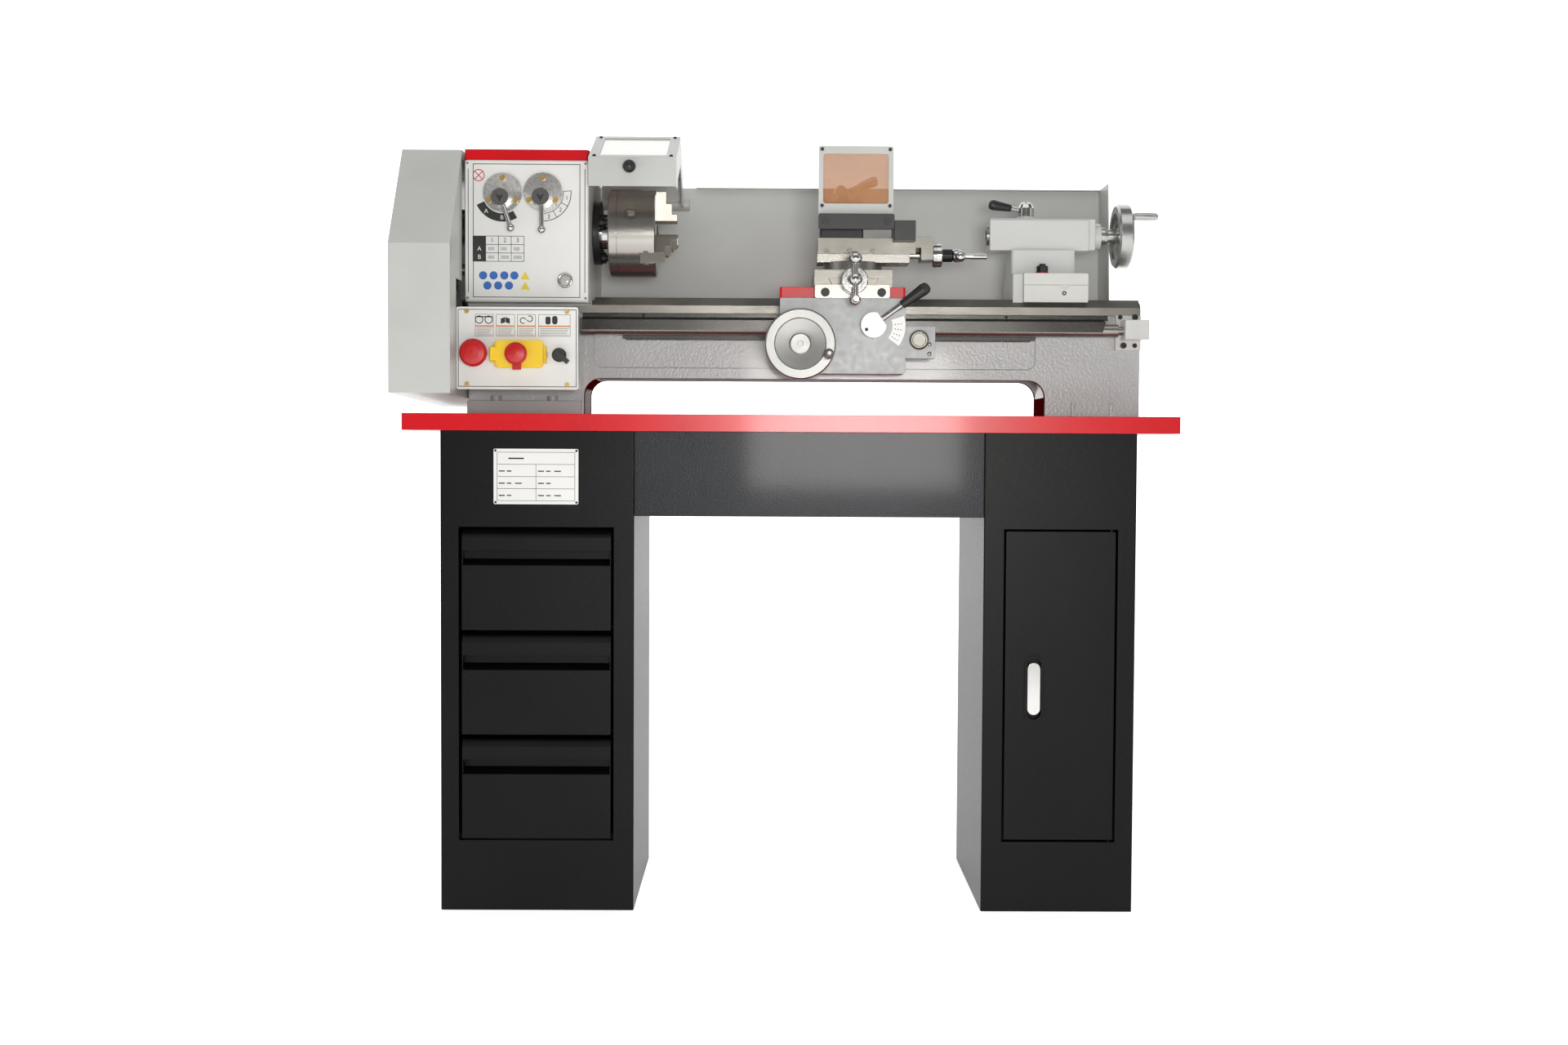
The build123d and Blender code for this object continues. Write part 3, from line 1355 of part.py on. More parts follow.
def half_nut_lever():
    x = nut_lever_x
    z = nut_lever_z
    y = apron_front - turn_gap
    hub = rod_y(y - 18, y, x, z, half_nut_hub_radius)
    angle = radians(35.6)
    cut = Pos(x, 0, z) * Rot(0, -degrees(angle), 0) * box(14.0, 30, y - 30, y + 1, -30, 30)
    hub -= cut
    hub += rod_y(y - 1, apron_front + apron_wall - 0.5, x, z, 6.0)
    start = (x + 8 * cos(angle), y - 11, z + 8 * sin(angle))
    grip = (x + 47 * cos(angle), y - 21, z + 47 * sin(angle))
    end = (x + 92 * cos(angle), y - 25, z + 92 * sin(angle))
    arm = bar_between(start, grip, 4.0)
    return group(hub + arm, tapered_grip(grip, end, 5.5, 8.5))


def half_nut():
    """The half nut below the leadscrew, open at rest."""
    x = nut_lever_x
    top = screw_z - 11.5
    block = box(x - 18, x + 18, screw_y - 16.5, screw_y + 11, top - 20, top)
    block += box(x - 18, x + 18, screw_y - 16.5, screw_y - 11, top - 2, top + 1.5)
    return block - rod_x(x - 19, x + 19, screw_y, screw_z - 6.0, screw_radius + 0.4)


def thread_dial():
    place = facing(dial_rod_x, apron_front - turn_gap, dial_z, (0, -1, 0))
    dial = turned([(0, 0), (dial_radius, 0), (dial_radius, 2.5), (dial_radius - 2.5, 4.5),
                   (9.5, 4.5), (9, 6.0), (0, 6.0)], place)
    dial += rod_y(apron_front - 1, screw_y + 8, dial_rod_x, dial_z, 4.0)
    dial += rod_y(screw_y - 8, screw_y + 8, dial_rod_x, dial_z, 6.6)
    return dial


def cross_slide():
    """The cross slide over the saddle's dovetail, with its gib screws and feed nut."""
    x0 = swivel_x - cross_width / 2
    x1 = swivel_x + cross_width / 2
    y1 = cross_front + cross_length
    body = box(x0, x1, cross_front, y1, cross_bottom, cross_top)
    body -= dovetail(swivel_x, cross_front - 1, y1 + 1, saddle_top, slide_gap + 0.1)
    body = body.solids()[0] if len(body.solids()) == 1 else body
    for y in (cross_front + 40, cross_front + 87, cross_front + 135):
        body += facing(x1, y, saddle_top + 7, (1, 0, 0)) * cap_screw(2.8, 3.0)
    nut_y = cross_front + 100
    nut = box(swivel_x - 8, swivel_x + 8, nut_y, nut_y + 24, saddle_top - 5.5,
              saddle_top + dovetail_height + 2)
    nut -= rod_y(nut_y - 1, nut_y + 25, swivel_x, feed_z, feed_screw_radius + running_gap)
    return body + nut


def ball_crank(reach, handle_length, both):
    """A ball crank on local Z: hub ball, arm along local X, end balls and one or two handles."""
    crank = Sphere(9.5)
    for side in (-1, 1):
        crank += Pos(side * reach / 2, 0, 3) * Rot(0, 90, 0) * Cylinder(4.2, reach)
    crank += Pos(-reach, 0, 3) * Sphere(7.8)
    crank += Pos(reach, 0, 3) * Sphere(9.0 if not both else 7.8)
    places = (-reach, reach) if both else (-reach,)
    for x in places:
        face = Plane.XZ * Polygon((0, 0), (3.4, 0), (4.4, handle_length * 0.4),
                                  (4.0, handle_length), (0, handle_length), align=None)
        crank += Pos(x, 0, 7) * revolve(face, Axis.Z, 360)
    return crank


def cross_feed_screw():
    """The cross feed screw with its dial and ball crank."""
    start = -saddle_width / 2 - 24 - turn_gap
    screw = rod_y(start - 1, saddle_width / 2 - 14, swivel_x, feed_z, feed_screw_radius)
    dial = rod_y(start - 16, start, swivel_x, feed_z, feed_dial_radius)
    dial = chamfer(dial.edges().filter_by(GeomType.CIRCLE), 1.2)
    hub = rod_y(start - 22, start - 15, swivel_x, feed_z, 10.0)
    crank = facing(swivel_x, start - 28, feed_z, (0, -1, 0)) * ball_crank(28.5, 24.0, False)
    return screw + dial + hub + crank


def swivel_base():
    """The round swivel base with the compound dovetail and its feed nut."""
    z0 = swivel_z
    base = rod_z(z0, base_slide_z, swivel_x, compound_y, swivel_radius)
    x0 = compound_x0 - 0.6
    x1 = compound_x1 - 8.5
    half = compound_width / 2
    base += box(x0, x1, compound_y - half, compound_y + half, base_slide_z - 1,
                base_slide_z + base_slide_height)
    top = base_slide_z + base_slide_height
    foot = 15.0
    head = foot + 9 * tan(radians(30))
    base += prism_x([(compound_y - foot, top - 0.5), (compound_y + foot, top - 0.5),
                     (compound_y + head, top + 9), (compound_y - head, top + 9)], x0, x1)
    base -= box(x0 + 12, x1 + 1, compound_y - 8, compound_y + 8, compound_screw_z - 7, top + 20)
    nut_x = x1 - 34
    nut = box(nut_x, nut_x + 20, compound_y - 8, compound_y + 8, compound_screw_z - 7, top + 8)
    nut -= rod_x(nut_x - 1, nut_x + 21, compound_y, compound_screw_z,
                 feed_screw_radius + running_gap)
    return base + nut


def compound_slide():
    """The top slide with its end bracket, toolpost stud and the block that holds the guard."""
    half = compound_width / 2
    z0 = compound_z
    body = box(compound_x0, compound_x1, compound_y - half, compound_y + half, z0, compound_top)
    foot = 15.0 + slide_gap + 0.1
    head = foot + 9.6 * tan(radians(30))
    body -= prism_x([(compound_y - foot, z0 - 1), (compound_y + foot, z0 - 1),
                     (compound_y + head, z0 + 9.4), (compound_y - head, z0 + 9.4)],
                    compound_x0 - 1, compound_x1 + 1)
    for x in (compound_x0 + 12, compound_x0 + 45, compound_x0 + 76.6):
        body += front_screw(x, compound_y - half, z0 + 4.5, 3.4, 3.0)
    stop = compound_x1 + 25
    bracket = box(compound_x1, stop, compound_y - half + 4, compound_y + half - 4, z0 + 9.4,
                  compound_top + 2.5)
    bracket += box(stop - 17, stop, compound_y - half + 4, compound_y + half - 4, z0 - 7.5,
                   z0 + 11)
    bracket -= rod_x(stop - 18, stop + 1, compound_y, compound_screw_z,
                     feed_screw_radius + running_gap)
    stud = rod_z(compound_top - 1, toolpost_top - 1, toolpost_cx, compound_y, post_radius)
    stud += rod_z(toolpost_top - 2, toolpost_top + 9, toolpost_cx, compound_y, post_stud)
    block_x0 = guard_x1 + turn_gap
    block = box(block_x0, block_x0 + 29, guard_axis_y - 6, compound_y + 12, compound_top,
                compound_top + 21)
    block += box(block_x0, block_x0 + 29, guard_axis_y - 6, compound_y - half, compound_top - 6,
                 compound_top + 1)
    block -= rod_x(block_x0 - 1, block_x0 + 14, guard_axis_y, guard_axis_z - 4,
                   guard_pin_radius + running_gap)
    return group(body + bracket + stud, block)


def compound_screw():
    stop = compound_x1 + 25 + turn_gap
    z = compound_screw_z
    screw = rod_x(compound_x0 + 60, stop + 1, compound_y, z, feed_screw_radius)
    dial = rod_x(stop, stop + 13.5, compound_y, z, compound_dial_radius)
    dial = chamfer(dial.edges().filter_by(GeomType.CIRCLE), 1.2)
    nut = rod_x(stop + 13, stop + 28, compound_y, z, 9.0)
    place = Plane(origin=(stop + 35, compound_y, z), x_dir=(0, 1, 0.14), z_dir=(1, 0, 0)).location
    return screw + dial + nut + place * ball_crank(20.0, 33.0, True)


def toolpost():
    """A four-way toolpost with a slot on each side and its tool screws."""
    half = toolpost_side / 2
    x = toolpost_cx
    y = compound_y
    z0 = toolpost_z
    block = box(x - half, x + half, y - half, y + half, z0, toolpost_top)
    block = rounded_z(block, 2.0)
    core = 17.0
    slot_z = z0 + 14
    slots = box(x - half - 1, x + half + 1, y - half - 1, y + half + 1, slot_z, slot_z + toolpost_slot)
    slots -= box(x - core, x + core, y - core, y + core, slot_z - 1, slot_z + toolpost_slot + 1)
    block -= slots
    block -= rod_z(z0 - 1, toolpost_top + 1, x, y, post_radius + running_gap)
    screws = []
    for sx, sy in ((-1, -0.2), (-1, 1), (1, 0.2), (1, -1), (0.2, -1), (-0.2, 1)):
        px = x + sx * (half - 7)
        py = y + sy * (half - 7)
        head = Pos(px, py, toolpost_top + 4) * Box(7, 7, 8)
        screws.append(head)
    return group(block, *screws)


def toolpost_lever():
    """The clamp lever: a domed hub on the stud and an arm with a tapered grip."""
    x = toolpost_cx
    y = compound_y
    z0 = toolpost_top + slide_gap
    place = Pos(x, y, z0)
    hub = turned([(0, 0), (11.5, 0), (12, 3), (12, 13), (9.5, 21), (5, 25.5), (0, 26.5)], place)
    hub -= rod_z(z0 - 1, z0 + 10, x, y, post_stud + running_gap)
    start = (x + 6, y, z0 + 16)
    grip = (x + 26, y + 5, z0 + 25)
    end = (x + 51, y + 10, z0 + 35)
    return hub + bar_between(start, grip, 4.2) + tapered_grip(grip, end, 5.0, 7.5)


def tool_guard():
    """The chip guard: a black bar on a pin, a framed clear window behind it."""
    y = guard_axis_y
    z = guard_axis_z
    low = z - guard_bar_height / 2
    bar = rounded_y(box(guard_x0, guard_x1, y - 5, y + 5, low, low + guard_bar_height), 3.0)
    bar += rod_x(guard_x1 - 1, guard_x1 + 13, y, z - 4, guard_pin_radius)
    for x in (guard_x0 + 10, guard_x1 - 10):
        bar += front_screw(x, y - 5, z, 4.6, 2.5)
    top = z + guard_bar_height / 2 - 3 + guard_height
    frame = rounded_y(box(guard_x0, guard_x1 - 1, y + 5, y + 6.5, low + 4, top), 3.0)
    frame -= rounded_y(box(guard_x0 + 6.5, guard_x1 - 8, y + 4, y + 8, top - 79, top - 10.5), 4.0)
    window = box(guard_x0 + 2, guard_x1 - 3, y + 6.5, y + 8, top - 84, top - 4)
    screws = []
    for x in (guard_x0 + 5, guard_x1 - 6):
        for sz in (top - 82, top - 4.5):
            screws.append(front_screw(x, y + 5, sz, 2.4, 1.4))
    return group(bar, frame, window, *screws)


# ------------------------------------------------------------------ tailstock
def tailstock_base():
    """The tailstock base on the ways with its front cover block, clamp nut and washer."""
    x0 = tail_left
    x1 = x0 + tail_base_length
    z0 = ways + slide_gap
    top = ways + tail_base_height
    base = box(x0, x1, -50, half_bed, z0, top)
    for y in ridge_places():
        r = ridge_height + 1.0
        base -= prism_x([(y - r, z0 - 0.1), (y, z0 + r), (y + r, z0 - 0.1)], x0 - 1, x1 + 1)
    column = box(x0, x0 + tail_column_length, -30, 36, top - 1, tail_column_top)
    base += rounded_z(column, 4.0)
    keeper = box(x0 + 20, x1 - 20, -half_bed + way_width + 1, half_bed - way_width - 1,
                 ways - way_height - 6, z0 + 1)
    keeper += box(x0 + 20, x1 - 20, -half_bed + way_width - 10, half_bed - way_width + 10,
                  ways - way_height - 14, ways - way_height - slide_gap - 0.3)
    base += keeper
    block = box(x0 + 14, x1, -62, -50, z0 - 0.0, top)
    block = rounded_y(block, 2.0)
    block -= box(x0 + 13, x1 + 1, -63, -61, top - 17, top - 16)
    block -= box(x0 + 66, x0 + 76, -63, -60.5, top - 21, top - 16)
    screw = front_screw(x0 + 71, -61.0, top - 28, 3.0, 1.5)
    nut_x = x0 + 43
    washer = rod_z(top, top + 2.5, nut_x, -40, 9.5)
    nut = Pos(nut_x, -40, top + 2.5) * extrude(hexagon(8.0), amount=9.5, dir=(0, 0, 1))
    nut += rod_z(top + 11, top + 15, nut_x, -40, 4.5)
    return group(base, block, screw, washer, nut)


def tailstock_body():
    """The barrel casting, its end plate and the bearing cap of the handwheel."""
    x0 = barrel_left
    x1 = barrel_right
    h = barrel_half
    c = 3.0
    section = [(-h, axis_z - h), (h, axis_z - h), (h, axis_z + h - c), (h - c, axis_z + h),
               (-h + c, axis_z + h), (-h, axis_z + h - c)]
    body = prism_x(section, x0, x1)
    body -= rod_x(x0 - 1, x1 + 1, 0, axis_z, quill_radius + running_gap)
    lock_x = x0 + 54
    body += rod_z(axis_z + h - 1, axis_z + h + 4, lock_x, 0, lock_hub_radius + 1.5)
    body -= rod_z(axis_z + h - 6, axis_z + h + 5, lock_x, 0, 5.0 + running_gap)
    plate = prism_x([(-h + 1, axis_z - h + 1), (h - 1, axis_z - h + 1), (h - 1, axis_z + h - 1),
                     (-h + 1, axis_z + h - 1)], x1, x1 + 9)
    cap = rod_x(x1 + 9, x1 + 19, 0, axis_z, 18.0)
    bore = rod_x(x1 - 1, x1 + 20, 0, axis_z, wheel_shaft_radius + running_gap)
    return group(body, plate - bore, cap - bore)


def quill():
    """The quill with its nose bore and the nut bore for the handwheel's screw."""
    x0 = barrel_left - 3
    x1 = barrel_right - 14
    body = rod_x(x0, x1, 0, axis_z, quill_radius)
    body -= rod_x(x0 - 1, x0 + 50, 0, axis_z, quill_bore)
    return body - rod_x(x0 + 60, x1 + 1, 0, axis_z, quill_screw_radius + running_gap)


def tailstock_handwheel():
    """A dished three-spoke handwheel, its handle and the quill screw."""
    x0 = barrel_right + 19 + turn_gap
    rim_x = x0 + 21
    outer = tail_wheel_radius
    wheel = turned([(0, 0), (13, 0), (13, 6), (10.5, 10), (10.5, 26), (12, 30), (12, 42),
                    (0, 42)], facing(x0, 0, axis_z, (1, 0, 0)))
    rim = turned([(outer - tail_rim, 0), (outer - 3, 0), (outer, 3), (outer, 18), (outer - 3, 21),
                  (outer - tail_rim + 2, 21), (outer - tail_rim, 17)],
                 facing(rim_x, 0, axis_z, (1, 0, 0)))
    wheel += rim
    for angle in (39, 159, 279):
        spoke = box(rim_x + 2, rim_x + 11, 8, outer - tail_rim + 3, -6, 6)
        wheel += Pos(0, 0, axis_z) * Rot(angle, 0, 0) * spoke
    wheel += rod_x(barrel_right + 2, x0 + 1, 0, axis_z, wheel_shaft_radius)
    wheel += rod_x(barrel_left + 70, barrel_right + 3, 0, axis_z, quill_screw_radius)
    reach = outer - tail_rim / 2
    hy = -sqrt(reach * reach - 25.0 * 25.0)
    handle = turned([(0, 0), (4, 0), (5.3, 3), (5.6, 22), (5.2, 34), (3.5, 36), (0, 36)],
                    facing(rim_x + 20, hy, axis_z + 25.0, (1, 0, 0)))
    return wheel + handle


def quill_lock_lever():
    x = barrel_left + 54
    z0 = axis_z + barrel_half + 4 + turn_gap
    hub = turned([(0, -9), (5, -9), (5, 0), (lock_hub_radius, 0), (lock_hub_radius, 12),
                  (9, 18), (5, 21), (0, 22)], Pos(x, 0, z0))
    grip = (x - 22, -3, z0 + 12)
    end = (x - 54, -7, z0 + 17)
    arm = bar_between((x - 6, -1, z0 + 9), grip, 3.8)
    return group(hub + arm, tapered_grip(grip, end, 5.0, 7.5))


# ------------------------------------------------------------------ the whole machine
def build_nodes():
    nodes = {
        "left_cabinet": left_cabinet(),
        "right_cabinet": right_cabinet(),
        "centre_panel": centre_panel(),
        "chip_tray": chip_tray(),
        "bed": bed(),
        "feed_rack": feed_rack(),
        "leadscrew_guard": leadscrew_guard(),
        "leadscrew_bracket": leadscrew_bracket(),
        "headstock_casting": headstock_casting(),
        "headstock_lid": headstock_lid(),
        "detent_plates": detent_plates(),
        "electrics_box": electrics_box(),
        "control_panel": control_panel(),
        "switch_base": switch_base(),
        "spindle_bearings": spindle_bearings(),
        "motor": motor(),
        "splash_guard": splash_guard(),
        "drive_belt": drive_belt(),
        "screws_and_pins": screws_and_pins(),
        "spindle": spindle(),
        "change_gear": change_gear(),
        "chuck_body": chuck_body(),
        "input_shaft": input_shaft(),
        "motor_pulley": motor_pulley(),
        "idler_gear": idler_gear(),
        "leadscrew": leadscrew(),
        "range_lever": range_lever(),
        "speed_lever": speed_lever(),
        "chuck_guard": chuck_guard(),
        "emergency_button": emergency_button(),
        "switch_flap": switch_flap(),
        "selector_knob": selector_knob(),
        "end_cover": end_cover(),
        "cabinet_door": cabinet_door(),
        "door_latch": door_latch(),
        "saddle": saddle(),
        "apron": apron(),
        "carriage_handwheel": carriage_handwheel(),
        "half_nut_lever": half_nut_lever(),
        "half_nut": half_nut(),
        "thread_dial": thread_dial(),
        "cross_slide": cross_slide(),
        "cross_feed_screw": cross_feed_screw(),
        "swivel_base": swivel_base(),
        "compound_slide": compound_slide(),
        "compound_screw": compound_screw(),
        "toolpost": toolpost(),
        "toolpost_lever": toolpost_lever(),
        "tool_guard": tool_guard(),
        "tailstock_base": tailstock_base(),
        "tailstock_body": tailstock_body(),
        "quill": quill(),
        "tailstock_handwheel": tailstock_handwheel(),
        "quill_lock_lever": quill_lock_lever(),
    }
    for i in range(3):
        nodes[f"chuck_jaw_{i + 1}"] = chuck_jaw(i)
    for i, name in enumerate(("top_drawer", "middle_drawer", "bottom_drawer")):
        nodes[name] = drawer(i)
    return nodes


def footprint_shift(nodes):
    """The shift that puts the origin at the middle of the footprint."""
    low = [min(tuple(shape.bounding_box().min)[k] for shape in nodes.values()) for k in range(3)]
    high = [max(tuple(shape.bounding_box().max)[k] for shape in nodes.values()) for k in range(3)]
    return -(low[0] + high[0]) / 2, -(low[1] + high[1]) / 2, -low[2]


nodes = build_nodes()
shift = footprint_shift(nodes)
os.makedirs("parts", exist_ok=True)
for name, shape in nodes.items():
    export_step(Pos(*shift) * shape, f"parts/{name}.step")
print(len(nodes), "nodes, shift", [round(value, 3) for value in shift])
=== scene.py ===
import bpy
import bmesh
from math import atan, cos, hypot, pi, radians, sin
from mathutils import Matrix, Vector


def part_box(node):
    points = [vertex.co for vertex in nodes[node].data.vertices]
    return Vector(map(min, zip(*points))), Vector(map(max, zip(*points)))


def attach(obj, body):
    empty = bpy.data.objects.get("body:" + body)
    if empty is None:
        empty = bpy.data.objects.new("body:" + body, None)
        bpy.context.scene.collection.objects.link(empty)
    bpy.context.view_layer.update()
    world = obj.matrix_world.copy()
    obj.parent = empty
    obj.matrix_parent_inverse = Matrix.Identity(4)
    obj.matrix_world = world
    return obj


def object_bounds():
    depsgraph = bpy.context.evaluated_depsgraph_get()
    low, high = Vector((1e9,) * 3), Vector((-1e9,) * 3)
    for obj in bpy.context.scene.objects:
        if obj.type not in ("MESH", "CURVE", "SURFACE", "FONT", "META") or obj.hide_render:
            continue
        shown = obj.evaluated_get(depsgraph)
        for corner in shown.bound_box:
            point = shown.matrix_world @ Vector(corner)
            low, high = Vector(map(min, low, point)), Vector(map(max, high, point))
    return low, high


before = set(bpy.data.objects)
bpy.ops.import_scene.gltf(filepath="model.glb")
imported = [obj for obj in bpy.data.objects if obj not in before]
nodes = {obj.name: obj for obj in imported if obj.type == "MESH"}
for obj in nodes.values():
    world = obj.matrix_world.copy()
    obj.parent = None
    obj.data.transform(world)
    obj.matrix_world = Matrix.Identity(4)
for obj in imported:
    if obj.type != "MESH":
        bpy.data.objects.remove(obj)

start_low, start_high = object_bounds()

# The model's millimetre grid: X = 0 is the camera's line, Y = 0 the spindle axis, Z = 0 the floor.
chuck_low, chuck_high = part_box("chuck_body")
chuck_mid = (chuck_low + chuck_high) / 2
CHUCK_MIDDLE_X = -0.1955
SPINDLE_HEIGHT = 0.940
OX = chuck_mid.x - CHUCK_MIDDLE_X
OY = chuck_mid.y
OZ = chuck_mid.z - SPINDLE_HEIGHT


def at(x, y, z):
    return Vector((OX + x / 1000, OY + y / 1000, OZ + z / 1000))


# ---------------------------------------------------------------- materials
def material(name, colour, rough, metal=0.0, tint=0.08, tint_scale=9.0, grain=400.0, stretch=(1, 1, 1),
             bump=0.1, depth=0.0003, vary=0.06, coat=0.0, edge=0.0006, rings=None, alpha=1.0,
             hammer=0.0, shine=0.5):
    """A Principled material whose colour, roughness and relief come from noise, rings or hammer marks."""
    m = bpy.data.materials.new(name)
    m.use_nodes = True
    tree = m.node_tree
    n = tree.nodes
    link = tree.links.new
    shader = n["Principled BSDF"]
    shader.inputs["Metallic"].default_value = metal
    shader.inputs["Coat Weight"].default_value = coat
    shader.inputs["Specular IOR Level"].default_value = shine
    shader.inputs["Coat Roughness"].default_value = 0.08
    shader.inputs["Alpha"].default_value = alpha
    coord = n.new("ShaderNodeTexCoord")
    place = n.new("ShaderNodeMapping")
    place.inputs["Scale"].default_value = stretch
    link(coord.outputs["Object"], place.inputs["Vector"])
    cloud = n.new("ShaderNodeTexNoise")
    cloud.inputs["Scale"].default_value = tint_scale
    cloud.inputs["Detail"].default_value = 5.0
    link(coord.outputs["Object"], cloud.inputs["Vector"])
    fine = n.new("ShaderNodeTexNoise")
    fine.inputs["Scale"].default_value = grain
    fine.inputs["Detail"].default_value = 3.0
    link(place.outputs["Vector"], fine.inputs["Vector"])
    shade = n.new("ShaderNodeMix")
    shade.data_type = "RGBA"
    shade.inputs["A"].default_value = [max(c * (1 - tint), 0) for c in colour] + [1]
    shade.inputs["B"].default_value = [min(c * (1 + tint), 1) for c in colour] + [1]
    spread = n.new("ShaderNodeMapRange")
    spread.inputs["From Min"].default_value = 0.3
    spread.inputs["From Max"].default_value = 0.7
    link(cloud.outputs["Fac"], spread.inputs["Value"])
    link(spread.outputs["Result"], shade.inputs["Factor"])
    link(shade.outputs["Result"], shader.inputs["Base Color"])
    polish = n.new("ShaderNodeMapRange")
    polish.inputs["To Min"].default_value = max(rough - vary, 0.02)
    polish.inputs["To Max"].default_value = min(rough + vary, 1.0)
    link(fine.outputs["Fac"], polish.inputs["Value"])
    link(polish.outputs["Result"], shader.inputs["Roughness"])
    height = fine.outputs["Fac"]
    if rings:
        axis, centre = rings
        offset = n.new("ShaderNodeMapping")
        offset.inputs["Location"].default_value = tuple(-c for c in centre)
        link(coord.outputs["Object"], offset.inputs["Vector"])
        wave = n.new("ShaderNodeTexWave")
        wave.wave_type = "RINGS"
        wave.rings_direction = axis
        wave.inputs["Scale"].default_value = 190.0
        wave.inputs["Distortion"].default_value = 0.6
        wave.inputs["Detail"].default_value = 2.0
        link(offset.outputs["Vector"], wave.inputs["Vector"])
        height = wave.outputs["Fac"]
    if hammer:
        cells = n.new("ShaderNodeTexVoronoi")
        cells.feature = "SMOOTH_F1"
        cells.inputs["Scale"].default_value = hammer
        link(coord.outputs["Object"], cells.inputs["Vector"])
        both = n.new("ShaderNodeMath")
        both.operation = "ADD"
        link(cells.outputs["Distance"], both.inputs[0])
        link(fine.outputs["Fac"], both.inputs[1])
        height = both.outputs[0]
    relief = n.new("ShaderNodeBump")
    relief.inputs["Strength"].default_value = bump
    relief.inputs["Distance"].default_value = depth
    link(height, relief.inputs["Height"])
    if edge:
        soft = n.new("ShaderNodeBevel")
        soft.samples = 3
        soft.inputs["Radius"].default_value = edge
        link(soft.outputs["Normal"], relief.inputs["Normal"])
    link(relief.outputs["Normal"], shader.inputs["Normal"])
    return m


black_paint = material("black_paint", (0.003, 0.003, 0.0033), 0.36, tint=0.3, grain=520, bump=0.35, depth=0.0004,
                       coat=0.0, vary=0.08, edge=0.0012, shine=0.16)
panel_paint = material("panel_paint", (0.008, 0.01, 0.014), 0.34, tint=0.3, grain=420, bump=0.5, depth=0.0006,
                       coat=0.1, vary=0.1, edge=0.0012, shine=0.22)
red_paint = material("red_paint", (0.58, 0.003, 0.009), 0.25, tint=0.08, grain=500, bump=0.15, coat=0.15,
                     edge=0.0012, shine=0.35)
# red paint darkened as painted shade, for the underside and inner sides of the bed's arch
shade_darkened_red = material("shade_darkened_red", (0.13, 0.004, 0.007), 0.5, tint=0.25, grain=300, bump=0.3, shine=0.0)
hammered = material("hammered_grey", (0.47, 0.485, 0.485), 0.3, tint=0.08, grain=260, bump=0.35, depth=0.0007,
                    coat=0.2, hammer=300, edge=0.002)
casting = material("casting_grey", (0.58, 0.585, 0.565), 0.34, tint=0.05, grain=480, bump=0.12, coat=0.3,
                   edge=0.0015)
block_grey = material("block_grey", (0.44, 0.45, 0.45), 0.4, tint=0.08, grain=300, bump=0.25, edge=0.0015)
sheet = material("sheet_grey", (0.51, 0.52, 0.495), 0.38, tint=0.06, grain=620, bump=0.12, coat=0.2, edge=0.001)
splash = material("splash_grey", (0.51, 0.525, 0.505), 0.42, tint=0.05, grain=620, bump=0.12, coat=0.15)
apron_grey = material("apron_grey", (0.31, 0.32, 0.32), 0.36, metal=0.1, tint=0.18, grain=120, bump=0.2, vary=0.1)
cream = material("cream_paint", (0.62, 0.62, 0.58), 0.4, tint=0.06, grain=400, bump=0.15)
white_plate = material("white_plate", (0.74, 0.74, 0.72), 0.42, metal=0.15, tint=0.04, grain=300,
                       stretch=(1, 1, 8), bump=0.04, edge=0)
ground = material("ground_steel", (0.2, 0.19, 0.17), 0.34, metal=0.85, tint=0.22, tint_scale=14, grain=160,
                  stretch=(0.4, 6, 6), bump=0.15, vary=0.12)
steel = material("machined_steel", (0.27, 0.26, 0.24), 0.3, metal=0.9, tint=0.16, grain=240, stretch=(1, 1, 5),
                 bump=0.15, vary=0.12)
dark_steel = material("dark_steel", (0.04, 0.038, 0.036), 0.36, metal=0.8, tint=0.3, grain=300, bump=0.2, vary=0.1)
blackened = material("blackened_steel", (0.02, 0.02, 0.021), 0.4, metal=0.6, tint=0.4, grain=400, bump=0.2)
chrome = material("chrome", (0.55, 0.545, 0.53), 0.13, metal=1.0, tint=0.05, grain=200, bump=0.05, vary=0.05)
jaw_steel = material("jaw_steel", (0.5, 0.475, 0.42), 0.32, metal=0.75, tint=0.12, grain=300,
                     stretch=(5, 1, 1), bump=0.15)
brass = material("brass", (0.62, 0.42, 0.14), 0.3, metal=1.0, tint=0.15, grain=300, bump=0.1)
rubber = material("belt_rubber", (0.015, 0.015, 0.015), 0.75, tint=0.3, grain=700, bump=0.3)
black_plastic = material("black_plastic", (0.012, 0.012, 0.012), 0.4, tint=0.3, grain=900, bump=0.2)
yellow = material("yellow_plastic", (0.85, 0.56, 0.01), 0.38, tint=0.07, grain=700, bump=0.12)
red_plastic = material("red_plastic", (0.5, 0.006, 0.008), 0.35, tint=0.08, grain=800, bump=0.1, coat=0.2)
ink = material("black_ink", (0.012, 0.012, 0.012), 0.5, tint=0.2, grain=700, bump=0.02, edge=0)
grey_ink = material("grey_ink", (0.22, 0.22, 0.22), 0.5, tint=0.1, grain=700, bump=0.02, edge=0)
blue_ink = material("blue_ink", (0.02, 0.13, 0.46), 0.45, tint=0.08, grain=700, bump=0.02, edge=0)
yellow_ink = material("yellow_ink", (0.8, 0.6, 0.03), 0.45, tint=0.08, grain=700, bump=0.02, edge=0)
orange_ink = material("orange_ink", (0.62, 0.2, 0.03), 0.45, tint=0.08, grain=700, bump=0.02, edge=0)
red_ink = material("red_ink", (0.5, 0.02, 0.02), 0.45, tint=0.08, grain=700, bump=0.02, edge=0)
hood_pane = material("hood_window", (0.82, 0.82, 0.76), 0.16, tint=0.06, grain=40, bump=0.06, coat=0.8, edge=0)
tinted = material("tinted_window", (0.5, 0.24, 0.11), 0.14, tint=0.15, grain=30, bump=0.05,
                  coat=0.4, alpha=0.66, edge=0)
